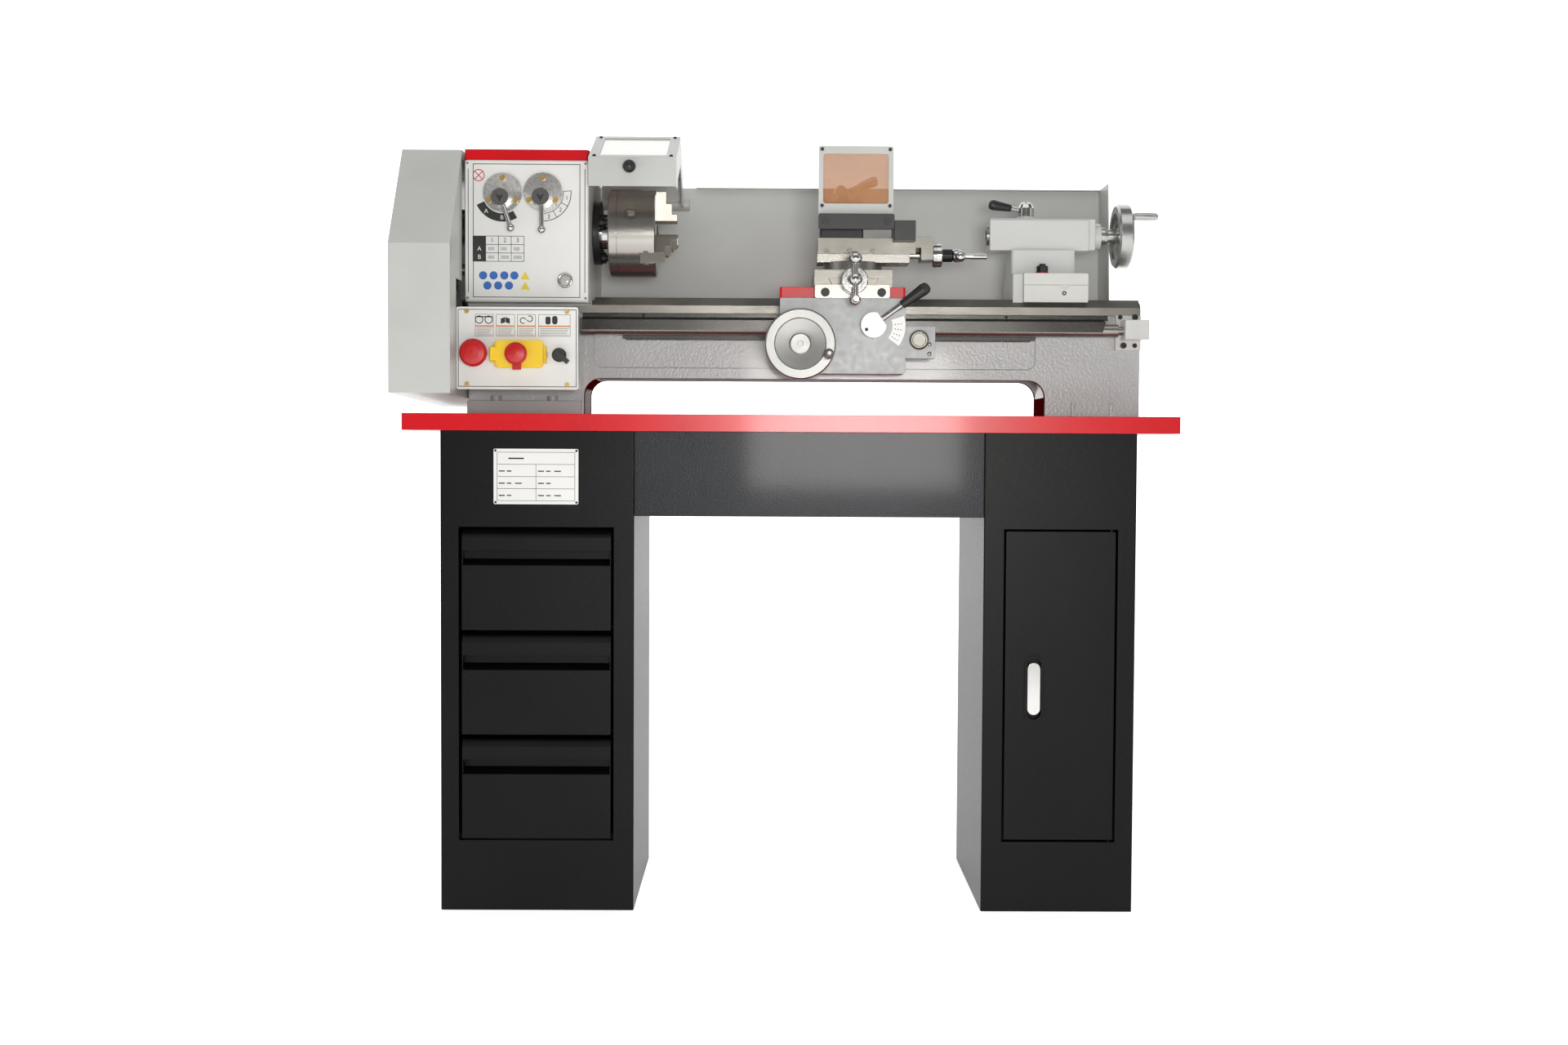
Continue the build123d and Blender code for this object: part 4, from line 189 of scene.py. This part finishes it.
guard_steel = material("guard_steel", (0.06, 0.058, 0.055), 0.24, metal=0.9, tint=0.25, grain=200,
                       stretch=(1, 6, 6), bump=0.15, vary=0.1)
oil_glass = material("sight_glass", (0.5, 0.5, 0.46), 0.1, tint=0.2, grain=60, bump=0.1, coat=1.0, edge=0)


def ring_metal(name, node, axis, colour=(0.5, 0.49, 0.475), rough=0.28):
    low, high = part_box(node)
    middle = (low + high) / 2
    return middle, material(name, colour, rough, metal=0.9, tint=0.04, grain=300, bump=0.3,
                            depth=0.0002, vary=0.08, rings=(axis, middle))


# ---------------------------------------------------------------- painting the CAD pieces
def islands(mesh):
    """The separate solids of a mesh: a list of (polygon indices, lowest corner, highest corner)."""
    parent = {}

    def find(a):
        while parent[a] != a:
            parent[a] = parent[parent[a]]
            a = parent[a]
        return a

    keys = [tuple(round(c * 20000) for c in v.co) for v in mesh.vertices]
    for k in keys:
        parent.setdefault(k, k)
    for p in mesh.polygons:
        first = find(keys[p.vertices[0]])
        for v in p.vertices[1:]:
            parent[find(keys[v])] = first
    groups = {}
    for p in mesh.polygons:
        groups.setdefault(find(keys[p.vertices[0]]), []).append(p.index)
    result = []
    for polygons in groups.values():
        points = [mesh.vertices[v].co for i in polygons for v in mesh.polygons[i].vertices]
        low = Vector([min(p[k] for p in points) for k in range(3)])
        high = Vector([max(p[k] for p in points) for k in range(3)])
        result.append((polygons, low, high))
    return result


def paint(node, main, solids=(), faces=()):
    """main covers the node; solids are (material, test of a solid's centre and size in mm);
    faces are (material, test of a face's centre in mm and normal)."""
    mesh = nodes[node].data
    mesh.materials.clear()
    used = [main]
    for other, _ in list(solids) + list(faces):
        if other not in used:
            used.append(other)
    for m in used:
        mesh.materials.append(m)
    for p in mesh.polygons:
        p.material_index = 0
    if solids:
        for polygons, low, high in islands(mesh):
            centre = ((low + high) / 2 - at(0, 0, 0)) * 1000
            size = (high - low) * 1000
            for other, test in solids:
                if test(centre, size):
                    for i in polygons:
                        mesh.polygons[i].material_index = used.index(other)
    for other, test in faces:
        for p in mesh.polygons:
            centre = (p.center - at(0, 0, 0)) * 1000
            if test(centre, p.normal):
                p.material_index = used.index(other)


def small(limit):
    return lambda c, s: max(s) < limit


for name in ("left_cabinet", "right_cabinet", "centre_panel", "top_drawer", "middle_drawer", "bottom_drawer"):
    paint(name, panel_paint if name == "centre_panel" else black_paint)
paint("cabinet_door", black_paint, solids=[(chrome, lambda c, s: s[2] < 120)])
paint("door_latch", chrome)
paint("chip_tray", red_paint)
# the bed's faces under the beam and inside the arch take the darkened red paint as painted shade
paint("bed", hammered, faces=[
    (ground, lambda c, n: c[2] > 821.5 and c[0] > -251.5 and abs(n[0]) < 0.5),
    (shade_darkened_red, lambda c, n: c[2] < 731 and -263.5 < c[0] < 393 and abs(n[1]) < 0.7),
    (block_grey, lambda c, n: c[2] < 697.5 and c[0] < -264.5)])
paint("feed_rack", dark_steel)
paint("leadscrew_guard", guard_steel)
paint("leadscrew_bracket", casting)
paint("headstock_casting", casting, faces=[
    (steel, lambda c, n: c[0] > -251.5 or c[0] < -426)])
paint("headstock_lid", red_paint)
plate_mid, disc_metal = ring_metal("turned_discs", "detent_plates", "Y")
paint("detent_plates", disc_metal)
paint("electrics_box", sheet)
paint("control_panel", white_plate)
paint("switch_base", yellow, solids=[(white_plate, lambda c, s: c[0] > -306)])
paint("spindle_bearings", steel)
paint("motor", apron_grey)
paint("splash_guard", splash)
paint("drive_belt", rubber)
paint("screws_and_pins", blackened, solids=[
    (block_grey, lambda c, s: 690 < c[2] < 712 and c[0] < 0),
    (brass, lambda c, s: c[1] < -135 or (c[1] < -90 and c[2] > 950))])
paint("spindle", blackened, faces=[(chrome, lambda c, n: c[0] > -242 and hypot(c[1], c[2] - 940) < 24),
                                   (steel, lambda c, n: c[0] < -260)])
spin_mid, chuck_metal = ring_metal("chuck_steel", "chuck_body", "X", (0.42, 0.4, 0.37), 0.2)


def in_socket(c, n):
    """The walls and floor of the three key sockets round the chuck, which get near-black blackened steel as
    painted shade in the holes.
    """
    for turn in (20, 140, 260):
        a = radians(turn)
        out = -c[1] * cos(a) + (c[2] - 940) * sin(a)
        across = c[1] * sin(a) + (c[2] - 940) * cos(a)
        facing_out = -n[1] * cos(a) + n[2] * sin(a)
        if abs(c[0] + 209) < 9.6 and abs(across) < 9.6 and out > 45 and (out < 56 or abs(facing_out) < 0.5):
            return True
    return False


# the key sockets' walls and floor are painted near-black as painted shade
paint("chuck_body", chuck_metal, faces=[(blackened, in_socket)])
for i in (1, 2, 3):
    paint(f"chuck_jaw_{i}", jaw_steel)
for name in ("change_gear", "idler_gear", "input_shaft", "motor_pulley", "leadscrew", "half_nut", "quill"):
    paint(name, steel)
for name in ("range_lever", "speed_lever"):
    paint(name, chrome)
paint("chuck_guard", sheet, solids=[
    (hood_pane, lambda c, s: s[0] < 115 and s[1] > 60 and s[2] < 60 and c[1] < -20),
    (black_plastic, lambda c, s: max(s) < 45)])
paint("emergency_button", red_plastic)
paint("switch_flap", yellow, solids=[(red_plastic, lambda c, s: s[0] < 40)])
paint("selector_knob", black_plastic)
paint("end_cover", sheet)
paint("saddle", red_paint, solids=[
    (steel, lambda c, s: c[1] < -100 and s[0] > 50), (blackened, lambda c, s: max(s) < 20)],
    faces=[(ground, lambda c, n: c[2] > 856.6 and c[1] > -99.5)])
paint("apron", apron_grey)
wheel_mid, wheel_metal = ring_metal("turned_wheel", "carriage_handwheel", "Y", (0.29, 0.29, 0.28), 0.36)
paint("carriage_handwheel", wheel_metal)
paint("half_nut_lever", chrome, solids=[(black_plastic, lambda c, s: c[0] > 165)],
      faces=[(white_plate, lambda c, n: c[0] < 161 and c[1] > -130 and n[1] < -0.5)])
paint("thread_dial", ground)
paint("cross_slide", ground, solids=[(blackened, small(12))])
paint("cross_feed_screw", chrome)
paint("swivel_base", steel)
paint("compound_slide", ground, solids=[(black_plastic, lambda c, s: s[0] < 40 and s[1] > 60)])
paint("compound_screw", chrome, faces=[(blackened, lambda c, n: 243.5 < c[0] < 258)])
paint("toolpost", blackened)
paint("toolpost_lever", chrome)
paint("tool_guard", black_plastic, solids=[
    (sheet, lambda c, s: s[0] > 90 and s[1] < 2 and s[2] > 90),
    (tinted, lambda c, s: s[0] > 90 and s[1] < 2 and 60 < s[2] < 90)])
paint("tailstock_base", casting, solids=[
    (cream, lambda c, s: c[1] < -50 and s[0] > 50), (red_plastic, lambda c, s: s[2] < 3 and 15 < s[0] < 25),
    (blackened, lambda c, s: max(s) < 17 and s[2] > 3)])
paint("tailstock_body", casting, solids=[(blackened, lambda c, s: s[0] < 9.5 and s[1] > 40),
                                         (chrome, lambda c, s: s[0] < 11 and s[1] < 40)])
tail_mid, tail_metal = ring_metal("turned_tail_wheel", "tailstock_handwheel", "X", (0.45, 0.45, 0.435), 0.24)
paint("tailstock_handwheel", tail_metal)
paint("quill_lock_lever", chrome, solids=[(black_plastic, lambda c, s: c[0] < 345)])


# ---------------------------------------------------------------- extra pieces
def finish_mesh(name, bm, m, body, smooth=False):
    mesh = bpy.data.meshes.new(name)
    bm.normal_update()
    bm.to_mesh(mesh)
    bm.free()
    for p in mesh.polygons:
        p.use_smooth = smooth
    mesh.materials.append(m)
    o = bpy.data.objects.new(name, mesh)
    bpy.context.scene.collection.objects.link(o)
    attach(o, body)
    return o


def flat(bm, outline, y, thick=0.3):
    """A thin plate facing the front, its outline in X and Z."""
    front = [bm.verts.new(at(x, y - thick, z)) for x, z in outline]
    back = [bm.verts.new(at(x, y, z)) for x, z in outline]
    bm.faces.new(front)
    bm.faces.new(back[::-1])
    count = len(outline)
    for i in range(count):
        j = (i + 1) % count
        bm.faces.new((front[j], front[i], back[i], back[j]))


def rect(x0, x1, z0, z1):
    return [(x0, z0), (x1, z0), (x1, z1), (x0, z1)]


def rounded(x0, x1, z0, z1, r, steps=5):
    points = []
    corners = ((x1 - r, z0 + r, -90), (x1 - r, z1 - r, 0), (x0 + r, z1 - r, 90), (x0 + r, z0 + r, 180))
    for cx, cz, start in corners:
        for i in range(steps + 1):
            a = radians(start + 90 * i / steps)
            points.append((cx + r * cos(a), cz + r * sin(a)))
    return points


def frame_lines(bm, x0, x1, z0, z1, wide, y, thick=0.2):
    for box in ((x0, x1, z0, z0 + wide), (x0, x1, z1 - wide, z1), (x0, x0 + wide, z0, z1),
                (x1 - wide, x1, z0, z1)):
        flat(bm, rect(*box), y, thick)


def disc(bm, x, z, r, y, thick=0.3, count=24):
    flat(bm, [(x + r * cos(2 * pi * i / count), z + r * sin(2 * pi * i / count)) for i in range(count)], y, thick)


def arc(bm, x, z, r0, r1, a0, a1, y, thick=0.3):
    steps = max(int(abs(a1 - a0) / 6), 2)
    outer = [radians(a0 + (a1 - a0) * i / steps) for i in range(steps + 1)]
    for a, b in zip(outer, outer[1:]):
        flat(bm, [(x + r0 * cos(a), z + r0 * sin(a)), (x + r1 * cos(a), z + r1 * sin(a)),
                  (x + r1 * cos(b), z + r1 * sin(b)), (x + r0 * cos(b), z + r0 * sin(b))], y, thick)


def lathe(bm, profile, origin, axis, count=28):
    """profile is (radius, height) in mm, spun about an axis that starts at origin."""
    z = Vector(axis).normalized()
    x = z.orthogonal().normalized()
    y = z.cross(x)
    rows = []
    for r, h in profile:
        row = []
        for i in range(count):
            a = 2 * pi * i / count
            row.append(bm.verts.new(origin + (x * cos(a) + y * sin(a)) * r / 1000 + z * h / 1000))
        rows.append(row)
    for a, b in zip(rows, rows[1:]):
        for i in range(count):
            j = (i + 1) % count
            bm.faces.new((a[i], a[j], b[j], b[i]))
    bm.faces.new(rows[0][::-1])
    bm.faces.new(rows[-1])


def rivet(bm, x, y, z, r=2.0):
    lathe(bm, [(r, 0), (r, 0.4), (r * 0.8, 0.9), (r * 0.35, 1.2)], at(x, y, z), (0, -1, 0), 16)


def label(name, text, size, x, y, z, m, body, turn=0.0):
    """Letters or figures standing on a front face."""
    curve = bpy.data.curves.new(name, "FONT")
    curve.body = text
    curve.size = size / 1000
    curve.align_x = "CENTER"
    curve.align_y = "CENTER"
    curve.extrude = 0.0001
    o = bpy.data.objects.new(name, curve)
    bpy.context.scene.collection.objects.link(o)
    o.matrix_world = Matrix.Translation(at(x, y, z)) @ Matrix.Rotation(radians(turn), 4, "Y") \
        @ Matrix.Rotation(radians(90), 4, "X")
    bpy.context.view_layer.update()
    mesh = bpy.data.meshes.new_from_object(o.evaluated_get(bpy.context.evaluated_depsgraph_get()))
    mesh.transform(o.matrix_world)
    bpy.data.objects.remove(o)
    mesh.materials.clear()
    mesh.materials.append(m)
    piece = bpy.data.objects.new(name, mesh)
    bpy.context.scene.collection.objects.link(piece)
    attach(piece, body)
    return piece


ROOT = "stand_and_bed"
# Y of the flat faces that carry plates and marks
front = -90.0
PANEL_Y = -142.0
CABINET_Y = -175.0
APRON_Y = -110.0
# speed plate
bm = bmesh.new()
flat(bm, rounded(-423.4, -253.6, 836.5, 1028.5, 3.0), front, 0.8)
finish_mesh("speed_plate", bm, white_plate, ROOT)
y = front - 0.8
bm = bmesh.new()
edge_x0, edge_x1, edge_z0, edge_z1, cut = -420.0, -257.0, 840.0, 1025.0, 7.0
frame_lines(bm, edge_x0 + cut, edge_x1 - cut, edge_z0, edge_z1, 0.9, y)
for x0, z0, x1, z1 in ((edge_x0, edge_z0 + cut, edge_x0 + 0.9, edge_z1 - cut),
                       (edge_x1 - 0.9, edge_z0 + cut, edge_x1, edge_z1 - cut)):
    flat(bm, rect(x0, x1, z0, z1), y, 0.2)
arc(bm, -371.5, 985, 28.6, 40, 205, 300, y, 0.25)
arc(bm, -316.0, 985.4, 38.8, 39.8, -92, 4, y, 0.2)
arc(bm, -316.0, 985.4, 28.4, 29.2, -92, 4, y, 0.2)
for angle in (-92, -60, -28, 4):
    a = radians(angle)
    dx, dz = cos(a), sin(a)
    flat(bm, [(-316 + dx * r + dz * w, 985.4 + dz * r - dx * w)
              for r, w in ((28.4, 0.4), (39.8, 0.4), (39.8, -0.4), (28.4, -0.4))], y, 0.2)
tx0, tx1, tz0, tz1 = -413.0, -342.0, 890.0, 925.0
cw = (tx1 - tx0) / 4
ch = (tz1 - tz0) / 3
for i in range(5):
    flat(bm, rect(tx0 + i * cw - 0.35, tx0 + i * cw + 0.35, tz0, tz1), y, 0.2)
for i in range(4):
    flat(bm, rect(tx0, tx1, tz0 + i * ch - 0.35, tz0 + i * ch + 0.35), y, 0.2)
flat(bm, rect(tx0, tx0 + cw, tz0, tz1), y, 0.15)
finish_mesh("speed_plate_lines", bm, ink, ROOT)
bm = bmesh.new()
for row in range(2):
    for column in range(3):
        cx = tx0 + (column + 1.5) * cw
        cz = tz0 + (row + 0.5) * ch
        for k in (-4.2, -1.4, 1.4, 4.2)[: 3 + (row == 0 and column > 0)]:
            frame_lines(bm, cx + k - 1.0, cx + k + 1.0, cz - 2.0, cz + 2.0, 0.55, y)
finish_mesh("speed_table_cells", bm, grey_ink, ROOT)
for i, text in enumerate("123"):
    label(f"column_{text}", text, 8.5, tx0 + (i + 1.5) * cw, y - 0.1, tz0 + 2.5 * ch, ink, ROOT)
    a = radians(-12 - 32 * i)
    label(f"speed_{text}", text, 8.5, -316 + 34.2 * cos(a), y - 0.1, 985.4 + 34.2 * sin(a), ink, ROOT)
for i, text in enumerate("AB"):
    label(f"row_{text}", text, 8.5, tx0 + cw / 2, y - 0.3, tz0 + (1.5 - i) * ch, white_plate, ROOT)
    a = radians(228 + 40 * i)
    label(f"range_{text}", text, 8.5, -371.5 + 34.4 * cos(a), y - 0.4, 985 + 34.4 * sin(a), white_plate,
          ROOT)
bm = bmesh.new()
dots = ((-399, 870.5), (-384.4, 870.5), (-369.5, 870.5), (-355.5, 870.5), (-393, 856.5), (-378, 856.5),
        (-363, 856.5))
for x, z in dots:
    disc(bm, x, z, 5.7, y, 0.2)
finish_mesh("blue_dots", bm, blue_ink, ROOT)
bm = bmesh.new()
for x, z in ((-340.5, 869.6), (-340.5, 855.6)):
    flat(bm, [(x - 6.4, z - 4.6), (x + 6.4, z - 4.6), (x, z + 6.4)], y, 0.2)
finish_mesh("yellow_marks", bm, yellow_ink, ROOT)
bm = bmesh.new()
arc(bm, -405.0, 1009.0, 7.2, 8.4, 0, 360, y, 0.2)
for s in (-1, 1):
    stroke = [(-405 - 6, 1009 - s * 5.2), (-405 - 5.2, 1009 - s * 6), (-405 + 6, 1009 + s * 5.2),
              (-405 + 5.2, 1009 + s * 6)]
    flat(bm, stroke[:: s], y, 0.2)
finish_mesh("red_ring_mark", bm, red_ink, ROOT)
bm = bmesh.new()
for x in (-420.5, -256.5):
    for z in (839.5, 1025.5):
        rivet(bm, x, y, z, 1.7)
finish_mesh("speed_plate_rivets", bm, steel, ROOT, True)
# sight glass
bm = bmesh.new()
bezel = [(8.4, -2), (10.7, -2), (10.7, 2.6), (9.6, 3.8), (8.2, 3.8), (7.4, 2.0), (7.2, 0.5)]
lathe(bm, bezel, at(-284.8, y, 864), (0, -1, 0), 36)
finish_mesh("sight_bezel", bm, chrome, ROOT, True)
bm = bmesh.new()
lens = [(7.3, 0), (7.3, 1.6), (6.0, 2.3), (3.0, 2.8), (0.5, 2.9)]
lathe(bm, lens, at(-284.8, y, 864), (0, -1, 0), 30)
finish_mesh("sight_lens", bm, oil_glass, ROOT, True)
# arrowheads on the lever hubs
arrows = (("range_arrow", "range_lever", -373.0, 977.0), ("speed_arrow", "speed_lever", -317.0, 977.7))
for name, body, x, z in arrows:
    bm = bmesh.new()
    flat(bm, [(x - 6.5, z + 4.5), (x, z + 1.0), (x + 6.5, z + 4.5), (x, z - 7.5)], -111.0, 0.25)
    finish_mesh(name, bm, ink, body)
# control panel print
y = PANEL_Y
bm = bmesh.new()
frame_lines(bm, -425.5, -263.5, 714.0, 819.8, 0.9, y)
cells = ((-402.0, -377.0), (-373.5, -348.0), (-344.5, -319.5), (-315.5, -272.0))
for x0, x1 in cells:
    frame_lines(bm, x0, x1, 783.0, 813.0, 0.45, y)
for x in (-396.5, -383.5):
    arc(bm, x, 805.5, 4.4, 5.6, 0, 360, y, 0.2)
flat(bm, rect(-401, -378, 808.8, 810.2), y, 0.2)
flat(bm, [(-367, 800), (-361, 802), (-361, 809), (-367, 807)], y, 0.2)
flat(bm, [(-354.6, 800), (-360.4, 802), (-360.4, 809), (-354.6, 807)][::-1], y, 0.2)
arc(bm, -336.5, 804.5, 3.2, 4.4, 20, 300, y, 0.2)
arc(bm, -327.5, 807.0, 3.2, 4.4, 200, 480, y, 0.2)
flat(bm, rounded(-297.0, -289.5, 799.5, 811.0, 3.4), y, 0.2)
flat(bm, rounded(-306.0, -299.0, 799.5, 810.0, 2.2), y, 0.2)
finish_mesh("panel_print", bm, ink, ROOT)
bm = bmesh.new()
for x0, x1 in cells:
    flat(bm, rect(x0 + 0.6, x1 - 0.6, 796.0, 797.8), y, 0.2)
finish_mesh("panel_orange_bars", bm, orange_ink, ROOT)
bm = bmesh.new()
for x0, x1 in cells:
    for k in range(5):
        flat(bm, rect(x0 + 2, x1 - 2 - (k * 5) % 4, 794.0 - 2.2 * k - 0.4, 794.0 - 2.2 * k + 0.3), y, 0.15)
for sx in (-303.0, -277.5):
    flat(bm, rect(sx - 0.3, sx + 0.3, 754.0, 762.0), -144.0, 0.2)
finish_mesh("panel_grey_rules", bm, grey_ink, ROOT)
# rating plate
y = CABINET_Y
bm = bmesh.new()
flat(bm, rounded(-372, -257.5, 554.5, 629.5, 2.0), y, 0.7)
finish_mesh("rating_plate", bm, white_plate, ROOT)
y -= 0.7
bm = bmesh.new()
frame_lines(bm, -367.5, -262, 559, 625, 0.5, y)
for z in (575.5, 592, 608.5):
    flat(bm, rect(-367.5, -262, z - 0.25, z + 0.25), y, 0.2)
flat(bm, rect(-315.0, -314.5, 559, 608.5), y, 0.2)
for row in range(3):
    for column in range(2):
        x = -365 + column * 53
        z = 565.5 + row * 16.5
        for k, wide in enumerate((8, 6, 9)[: 2 + (row + column) % 2]):
            flat(bm, rect(x + k * 11, x + k * 11 + wide, z, z + 1.6), y, 0.15)
flat(bm, rect(-352, -331, 615.5, 617.5), y, 0.15)
finish_mesh("rating_plate_lines", bm, ink, ROOT)
bm = bmesh.new()
for x in (-369.5, -260):
    for z in (557, 627):
        rivet(bm, x, y, z, 1.6)
finish_mesh("rating_plate_rivets", bm, blackened, ROOT, True)
# apron arc scale and lever dot
bm = bmesh.new()
arc(bm, 143.5, 802.3, 27, 45, -38, 18, APRON_Y, 0.3)
finish_mesh("half_nut_scale", bm, white_plate, "carriage")
bm = bmesh.new()
for angle in (-30, -20, -8, 4):
    a = radians(angle)
    for k in range(3):
        r = 31 + 4 * k
        disc(bm, 143.5 + r * cos(a), 802.3 + r * sin(a), 0.8, APRON_Y - 0.3, 0.15, 8)
finish_mesh("half_nut_scale_marks", bm, ink, "carriage")
bm = bmesh.new()
disc(bm, 133.6, 796.0, 2.4, -128.4, 0.3)
finish_mesh("half_nut_dot", bm, ink, "half_nut_lever")


def ticks(name, body, centre, axis, radius, half, count, m=ink):
    """Graduations round a dial; axis is 0 for X and 1 for Y."""
    bm = bmesh.new()
    for i in range(count):
        a = 2 * pi * i / count
        long = half if i % 5 == 0 else half * 0.55
        u = Vector((0, cos(a), sin(a))) if axis == 0 else Vector((cos(a), 0, sin(a)))
        t = Vector((0, -sin(a), cos(a))) if axis == 0 else Vector((-sin(a), 0, cos(a)))
        w = Vector((1, 0, 0)) if axis == 0 else Vector((0, 1, 0))
        corners = []
        for r in (radius - 0.1, radius + 0.12):
            for du, dw in ((-0.16, -long), (0.16, -long), (0.16, long), (-0.16, long)):
                corners.append(bm.verts.new(at(*centre) + (u * r + t * du + w * dw) / 1000))
        bm.faces.new(corners[4:])
        for k in range(4):
            bm.faces.new((corners[k], corners[(k + 1) % 4], corners[4 + (k + 1) % 4], corners[4 + k]))
    finish_mesh(name, bm, m, body)


ticks("cross_dial_marks", "cross_feed_screw", (116.5, -129.5, 862.8), 1, 18.5, 3.0, 50)
ticks("compound_dial_marks", "compound_screw", (233.6, -55.0, 905.4), 0, 16.5, 3.0, 50)
# screws round the window of the chuck guard
hood_front, hood_roof = (-120.0, 1031.0), (0.0, 1079.0)
hood_run, hood_climb = hood_roof[0] - hood_front[0], hood_roof[1] - hood_front[1]
run = hypot(hood_run, hood_climb)
c, s = hood_run / run, hood_climb / run
bm = bmesh.new()
for x in (-242.5, -136.5):
    for d in (7.0, 121.0):
        base = at(x, hood_front[0] + c * d, hood_front[1] + s * d)
        lathe(bm, [(2.6, 0), (2.6, 1.0), (1.8, 1.8), (0.8, 2.0)], base, (0, -s, c), 14)
finish_mesh("hood_screws", bm, blackened, "chuck_guard", True)
# screws on the case of the thread dial
bm = bmesh.new()
for z in (779.0, 766.0):
    lathe(bm, [(3.0, 0), (3.0, 0.5), (2.2, 1.0)], at(222.0, APRON_Y, z - 2), (0, -1, 0), 14)
finish_mesh("dial_case_screws", bm, steel, "carriage", True)

# ---------------------------------------------------------------- stage, light and camera
floor_mesh = bpy.data.meshes.new("floor")
bm = bmesh.new()
corners = [bm.verts.new((x, y, start_low.z)) for x, y in ((-12, -12), (12, -12), (12, 12), (-12, 12))]
bm.faces.new(corners)
bm.to_mesh(floor_mesh)
bm.free()
floor_material = material("pale_floor", (0.93, 0.93, 0.93), 0.6, tint=0.01, grain=8, bump=0.0, edge=0)
floor_material.node_tree.nodes["Principled BSDF"].inputs["Emission Color"].default_value = (1, 1, 1, 1)
floor_material.node_tree.nodes["Principled BSDF"].inputs["Emission Strength"].default_value = 0.66
floor_mesh.materials.append(floor_material)
floor = bpy.data.objects.new("floor", floor_mesh)
bpy.context.scene.collection.objects.link(floor)
wall_mesh = bpy.data.meshes.new("backdrop")
bm = bmesh.new()
corners = [bm.verts.new((x, 5.0, z)) for x, z in ((-14, -1), (14, -1), (14, 12), (-14, 12))]
bm.faces.new(corners)
bm.to_mesh(wall_mesh)
bm.free()
wall_material = material("backdrop", (0.9, 0.9, 0.9), 0.8, tint=0.01, grain=4, bump=0.0, edge=0)
wall_material.node_tree.nodes["Principled BSDF"].inputs["Emission Color"].default_value = (1, 1, 1, 1)
wall_material.node_tree.nodes["Principled BSDF"].inputs["Emission Strength"].default_value = 0.95
wall_mesh.materials.append(wall_material)
wall = bpy.data.objects.new("backdrop", wall_mesh)
bpy.context.scene.collection.objects.link(wall)


def lamp(name, where, aim, size, power, colour=(1, 1, 1), spread=180):
    data = bpy.data.lights.new(name, "AREA")
    data.shape = "RECTANGLE"
    data.size, data.size_y = size
    data.energy = power
    data.color = colour
    data.spread = radians(spread)
    o = bpy.data.objects.new(name, data)
    bpy.context.scene.collection.objects.link(o)
    o.location = where
    o.rotation_mode = "QUATERNION"
    o.rotation_quaternion = (Vector(aim) - Vector(where)).to_track_quat("-Z", "Y")
    return o


lamp("front_flash", (0.22, -2.9, 0.72), (0, 0, 0.75), (0.6, 0.4), 25, (1, 0.98, 0.95))
lamp("top_bank", (0.0, -1.2, 3.0), (0, 0, 0.8), (3.2, 1.6), 19)
lamp("left_bank", (-3.0, -1.2, 1.6), (0, 0, 0.8), (1.6, 2.4), 9.5)
lamp("right_bank", (3.0, -1.0, 1.6), (0, 0, 0.8), (1.6, 2.4), 7)
world = bpy.data.worlds.new("studio")
world.use_nodes = True
world.node_tree.nodes["Background"].inputs["Color"].default_value = (1, 1, 1, 1)
world.node_tree.nodes["Background"].inputs["Strength"].default_value = 0.17
bpy.context.scene.world = world
bpy.context.scene.view_settings.view_transform = "Standard"

CAMERA_AT = (0, -2656, 631)
SENSOR = 36.0
FOCAL = 2243 / 1920
PITCH = atan(90 / 2243)
YAW = atan(19 / 2243)
ROLL = radians(0.3)
camera_data = bpy.data.cameras.new("camera")
camera_data.sensor_width = SENSOR
camera_data.lens = FOCAL * SENSOR
camera_data.clip_start = 0.05
camera_data.clip_end = 60
camera = bpy.data.objects.new("camera", camera_data)
bpy.context.scene.collection.objects.link(camera)
forward = Vector((sin(YAW) * cos(PITCH), cos(YAW) * cos(PITCH), -sin(PITCH)))
side = Vector((cos(YAW), -sin(YAW), 0))
up = side.cross(forward)
right = side * cos(ROLL) + up * sin(ROLL)
up = right.cross(forward)
turn = Matrix((right, up, -forward)).transposed()
camera.matrix_world = Matrix.Translation(at(*CAMERA_AT)) @ turn.to_4x4()
bpy.context.scene.camera = camera
